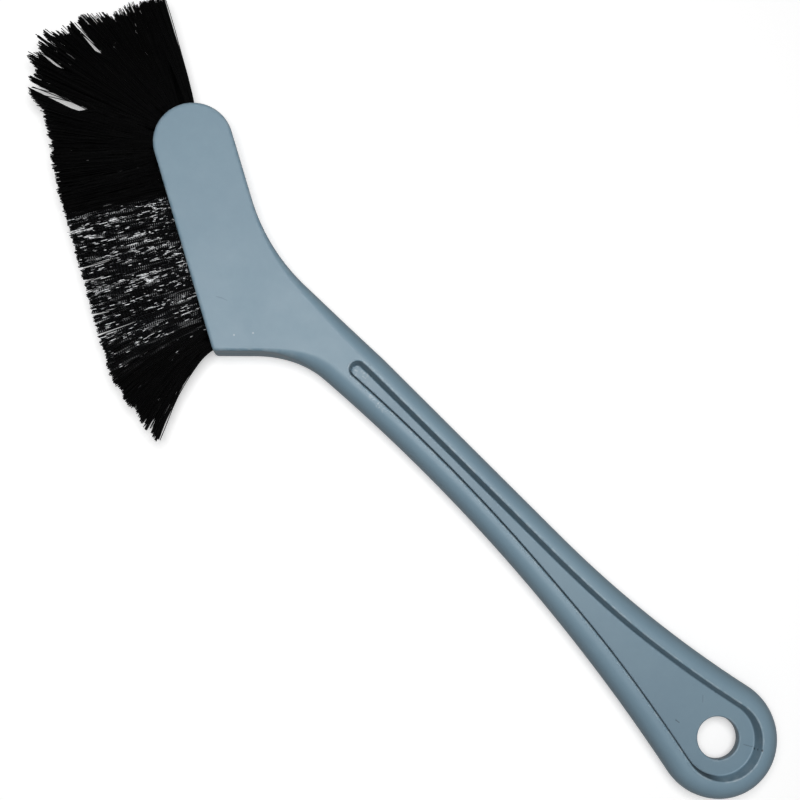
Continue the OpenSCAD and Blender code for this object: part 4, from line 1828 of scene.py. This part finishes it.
@dataclass
class TuftField:
    """All the tufts along the head's long edge and round its tip."""

    plan: BodyPlan
    eye: Place
    filaments: int = 80
    thickening: float = 0.8
    most: float = 3.2
    filament_d: float = 0.25
    root_r: float = 0.88
    spread: float = 0.6
    elbow_share: float = 0.3
    bow: float = 0.8
    splay: float = 3.4
    flare: float = 0.95
    edge_ease: float = 0.5
    ragged: float = 1.0
    corner_ragged: float = 1.5
    overhang: float = 0.8
    over: float = 0.4
    stray: float = 0.3
    wander: float = 1.0
    tip_calm: float = 0.6
    clump_w: float = 0.9
    trim_n: int = 48
    bow_zone: Span = (6.0, 20.0)
    tip_zone: Span = (50.0, 56.0)
    corner_end: Span = (58.0, 61.0)
    heel_zone: Span = (4.0, 10.0)
    lower_seed: int = 100
    splits: tuple[Split, ...] = (
        Split((63.7, 12.6), (75.5, 24.4), 0.8),
        Split((75.3, 5.3), (84.2, 8.6), 0.46),
        Split((73.8, 14.3), (84.2, 20.7), 0.3),
        Split((29.0, 15.6), (28.5, 25.2), 0.3),
        Split((25.1, 18.5), (25.3, 25.2), 0.36),
        Split((22.8, 22.3), (23.0, 25.2), 0.34),
        Split((16.5, 18.5), (17.0, 25.6), 0.26),
        Split((12.7, 13.2), (12.0, 24.5), 0.26),
    )
    trim: tuple[tuple[float, float], ...] = (
        (0.0, 0.0), (49.7, -0.3), (53.1, -1.7), (54.5, -1.8), (55.3, -0.3), (55.9, -0.6),
        (56.6, -3.6), (57.1, -0.6), (57.6, -1.5), (58.1, 0.2), (59.3, -1.2), (60.5, 1.0),
        (61.7, -0.3), (62.0, -1.6), (62.5, 0.1), (63.5, 0.5), (67.0, 0.2),
    )
    seed: int = 11
    pieces: list[bpy.types.Object] = field(default_factory=list)

    def _trimmed(self, s: float) -> Vector:
        """Finds where bristles really end, with the uneven cut at the tip.

        Args:
            s: Distance along the head's edge from the heel, in millimetres.

        Returns:
            The point.
        """
        p = self.plan
        for (s0, cut0), (s1, cut1) in zip(self.trim, self.trim[1:]):
            if s <= s1:
                break
        end = p.end_point(s)
        cut = cut0 + (cut1 - cut0) * share(s0, s1, s) + self.over
        return end + (end - p.edge_point(s)).normalized() * cut

    def _trim_line(self, s: float) -> list[Vector]:
        """Lays out the line on which the bristles of one tuft end.

        Args:
            s: Distance along the head's edge from the heel, in millimetres.

        Returns:
            The points of the line, in metres.
        """
        p = self.plan
        reach = self.spread * p.tuft_pitch
        low, high = s - reach, min(s + reach, p.last_s + self.overhang)
        points = [self._trimmed(low + (high - low) * i / self.trim_n) for i in range(self.trim_n + 1)]
        return [(point * MM).to_3d() for point in points]

    def _nearest(self, s: float) -> list[Split]:
        """Returns the splits that open nearest to the ends of the tuft at distance s."""
        end = self.plan.end_point(s)
        return sorted(self.splits, key=lambda split: (self.plan.in_head(*split.end) - end).length)

    def _values(self, row: Row, index: int, material: bpy.types.Material) -> dict[str, object]:
        """Works out the inputs of one tuft.

        Args:
            row: Row of the tuft.
            index: Place of the tuft in its row, from 0.
            material: Finish of the bristles.

        Returns:
            The value of each named input of the tree.
        """
        p = self.plan
        s = row.place(p, index)
        axis = p.hole_dir(s)
        reach = self.spread * p.tuft_pitch
        stretch = (p.end_point(s + reach) - p.end_point(s - reach)).length / (2 * reach)
        count = self.filaments * min(self.most, 1 + self.thickening * (stretch - 1))
        inner = share(-self.edge_ease, p.tuft_pitch, min(s, p.last_s - s))
        at_tip, at_heel = ease(*self.tip_zone, s), 1 - ease(*self.heel_zone, s)
        at_corner = at_tip * (1 - ease(*self.corner_end, s))
        bow = self.bow * (1 - ease(*self.bow_zone, s))
        splits = {}
        for key, split in zip(TuftTree.SPLITS, self._nearest(s)):
            splits[f"Split {key} Start"] = (p.in_head(*split.start) * MM).to_3d()
            splits[f"Split {key} End"] = (p.in_head(*split.end) * MM).to_3d()
            splits[f"Split {key} Half"] = split.half * MM
        return {
            **splits,
            "Eye": Vector(self.eye) * MM,
            "Mouth": (p.edge_point(s) * MM).to_3d(),
            "Axis": axis.to_3d(),
            "Elbow Axis": axis.lerp(p.head_across, bow).normalized().to_3d(),
            "Across": across_of(axis).to_3d(),
            "Filament Radius": self.filament_d / 2 * MM,
            "Root Radius": self.root_r * MM,
            "Hole Depth": p.hole_depth(s) * MM,
            "Fold Height": p.anchor_fold * MM,
            "Anchor Height": p.anchor_h * MM,
            "Root Height": row.side * p.tuft_row_z * MM,
            "End Height": row.side * p.tip_row_z * MM,
            "End Rise": p.tip_row_z * MM,
            "Elbow Share": self.elbow_share,
            "Splay": self.splay * inner * MM,
            "Flare": self.flare * inner * MM,
            "Ragged": (self.ragged + self.corner_ragged * (at_corner + at_heel)) * MM,
            "Stray": self.stray * MM,
            "Wander": self.wander * (1 - self.tip_calm * at_tip) * MM,
            "Clumps": stretch * reach / self.clump_w,
            "Filaments": round(count),
            "Seed": self.seed + index + (self.lower_seed if row is Row.LOWER else 0),
            "Material": material,
        }

    def build(self, finish: BristlePlastic) -> None:
        """Grows every tuft with its finish.

        Args:
            finish: Finish of the bristles.
        """
        tree = TuftTree()
        material = finish.material()
        for row in Row:
            for index in range(row.count(self.plan)):
                number = f"{row.label}_{index + 1:02d}"
                values = self._values(row, index, material)
                piece = tree.grow(f"bristles_{number}", self._trim_line(row.place(self.plan, index)), values)
                piece["node"] = f"tuft_{number}"
                self.pieces.append(piece)

    def dress(self) -> None:
        """Puts each tuft in its CAD node's place."""
        for piece in self.pieces:
            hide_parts(piece["node"])
            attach(piece, BODY)


@dataclass
class Anchors:
    """The flat wires that hold the tufts, kept as the CAD model has them."""

    nodes: tuple[str, ...] = ("anchors_upper", "anchors_lower")

    def dress(self, finish: AnchorSteel) -> None:
        """Gives both rows of wires their steel.

        Args:
            finish: The steel.
        """
        material = finish.material()
        for name in self.nodes:
            mesh = frame["nodes"][name].data
            mesh.materials.clear()
            mesh.materials.append(material)


# The studio


@dataclass(frozen=True)
class Lamp:
    """A square soft lamp: its place, what it is aimed at, its size in metres, power and spread."""

    name: str
    place: Place
    aim: Place
    size: float
    power: float
    spread: float

    def hang(self) -> None:
        """Adds the lamp to the scene."""
        data = bpy.data.lights.new(self.name, "AREA")
        data.shape, data.size, data.energy = "SQUARE", self.size, self.power
        data.spread = math.radians(self.spread)
        lamp = bpy.data.objects.new(self.name, data)
        bpy.context.scene.collection.objects.link(lamp)
        lamp.location = Vector(self.place) * MM
        away = lamp.location - Vector(self.aim) * MM
        lamp.rotation_euler = away.to_track_quat("Z", "Y").to_euler()


@dataclass
class Studio:
    """White floor, soft lamps and the camera."""

    plan: BodyPlan
    camera_at: Place = (102.5, 34.53, 330.0)
    camera_aim: Place = (110.0, -3.68, 0.0)
    picture_up: Place = (0.7046, -0.7096, 0.0)
    lens: float = 62.3
    sensor: float = 36.0
    clip: Span = (0.01, 20.0)
    floor_size: float = 4.0
    world_level: float = 0.08
    lamps: tuple[Lamp, ...] = (
        Lamp("key", (150.0, 0.0, 500.0), (150.0, 0.0, 0.0), 0.26, 2.05, 180.0),
        Lamp("fill", (-150.0, 220.0, 520.0), (80.0, 0.0, 0.0), 0.5, 0.2, 180.0),
    )

    def floor(self, finish: PaperFloor) -> None:
        """Lays the floor under the brush.

        Args:
            finish: Finish of the floor.
        """
        mesh = bpy.data.meshes.new("floor")
        half = self.floor_size / 2
        z = -self.plan.half_t * MM
        corners = [(x, y, z) for x, y in ((-half, -half), (half, -half), (half, half), (-half, half))]
        mesh.from_pydata(corners, [], [(0, 1, 2, 3)])
        mesh.materials.append(finish.material())
        show("floor", mesh)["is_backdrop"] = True

    def camera(self) -> None:
        """Sets the camera at the photograph's viewing angle."""
        data = bpy.data.cameras.new("camera")
        data.lens, data.sensor_width = self.lens, self.sensor
        data.clip_start, data.clip_end = self.clip
        cam = bpy.data.objects.new("camera", data)
        bpy.context.scene.collection.objects.link(cam)
        at, aim = Vector(self.camera_at) * MM, Vector(self.camera_aim) * MM
        back = (at - aim).normalized()
        right = Vector(self.picture_up).cross(back).normalized()
        up = back.cross(right)
        turn = Matrix((right, up, back)).transposed().to_4x4()
        cam.matrix_world = Matrix.Translation(at) @ turn
        bpy.context.scene.camera = cam

    def light(self) -> None:
        """Hangs the soft lamps and sets the world."""
        for lamp in self.lamps:
            lamp.hang()
        world = bpy.data.worlds.new("studio")
        bpy.context.scene.world = world
        world.use_nodes = True
        bench = NodeBench(world.node_tree)
        level = bench.seen() * (1 - self.world_level) + self.world_level
        bench.fill(world.node_tree.nodes["Background"], {"Color": WHITE, "Strength": level})
        bpy.context.scene.view_settings.view_transform = "Standard"


def corners(box: tuple[Vector, Vector]) -> list[list[float]]:
    """Returns a box's two corners as plain lists."""
    return [list(corner) for corner in box]


def main() -> None:
    """Builds the brush and its studio in order and reports each piece."""
    logging.basicConfig(level=logging.INFO, format="%(message)s")
    cad_box = corners(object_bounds())
    plan = BodyPlan()
    studio = Studio(plan)
    studio.camera()
    body = MouldedBody(plan)
    piece = body.build()
    body.dress(piece, SatinPlastic())
    LOG.info("moulded body: %d faces", len(piece.data.polygons))
    tufts = TuftField(plan, studio.camera_at)
    tufts.build(BristlePlastic(plan))
    tufts.dress()
    for piece in tufts.pieces:
        LOG.info("%s: %d faces", piece.name, len(piece.data.polygons))
    anchors = Anchors()
    anchors.dress(AnchorSteel())
    for name in anchors.nodes:
        LOG.info("%s: dressed", name)
    studio.floor(PaperFloor())
    studio.light()
    {"cad": cad_box, "visual": corners(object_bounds())}


if __name__ == "__main__":
    main()
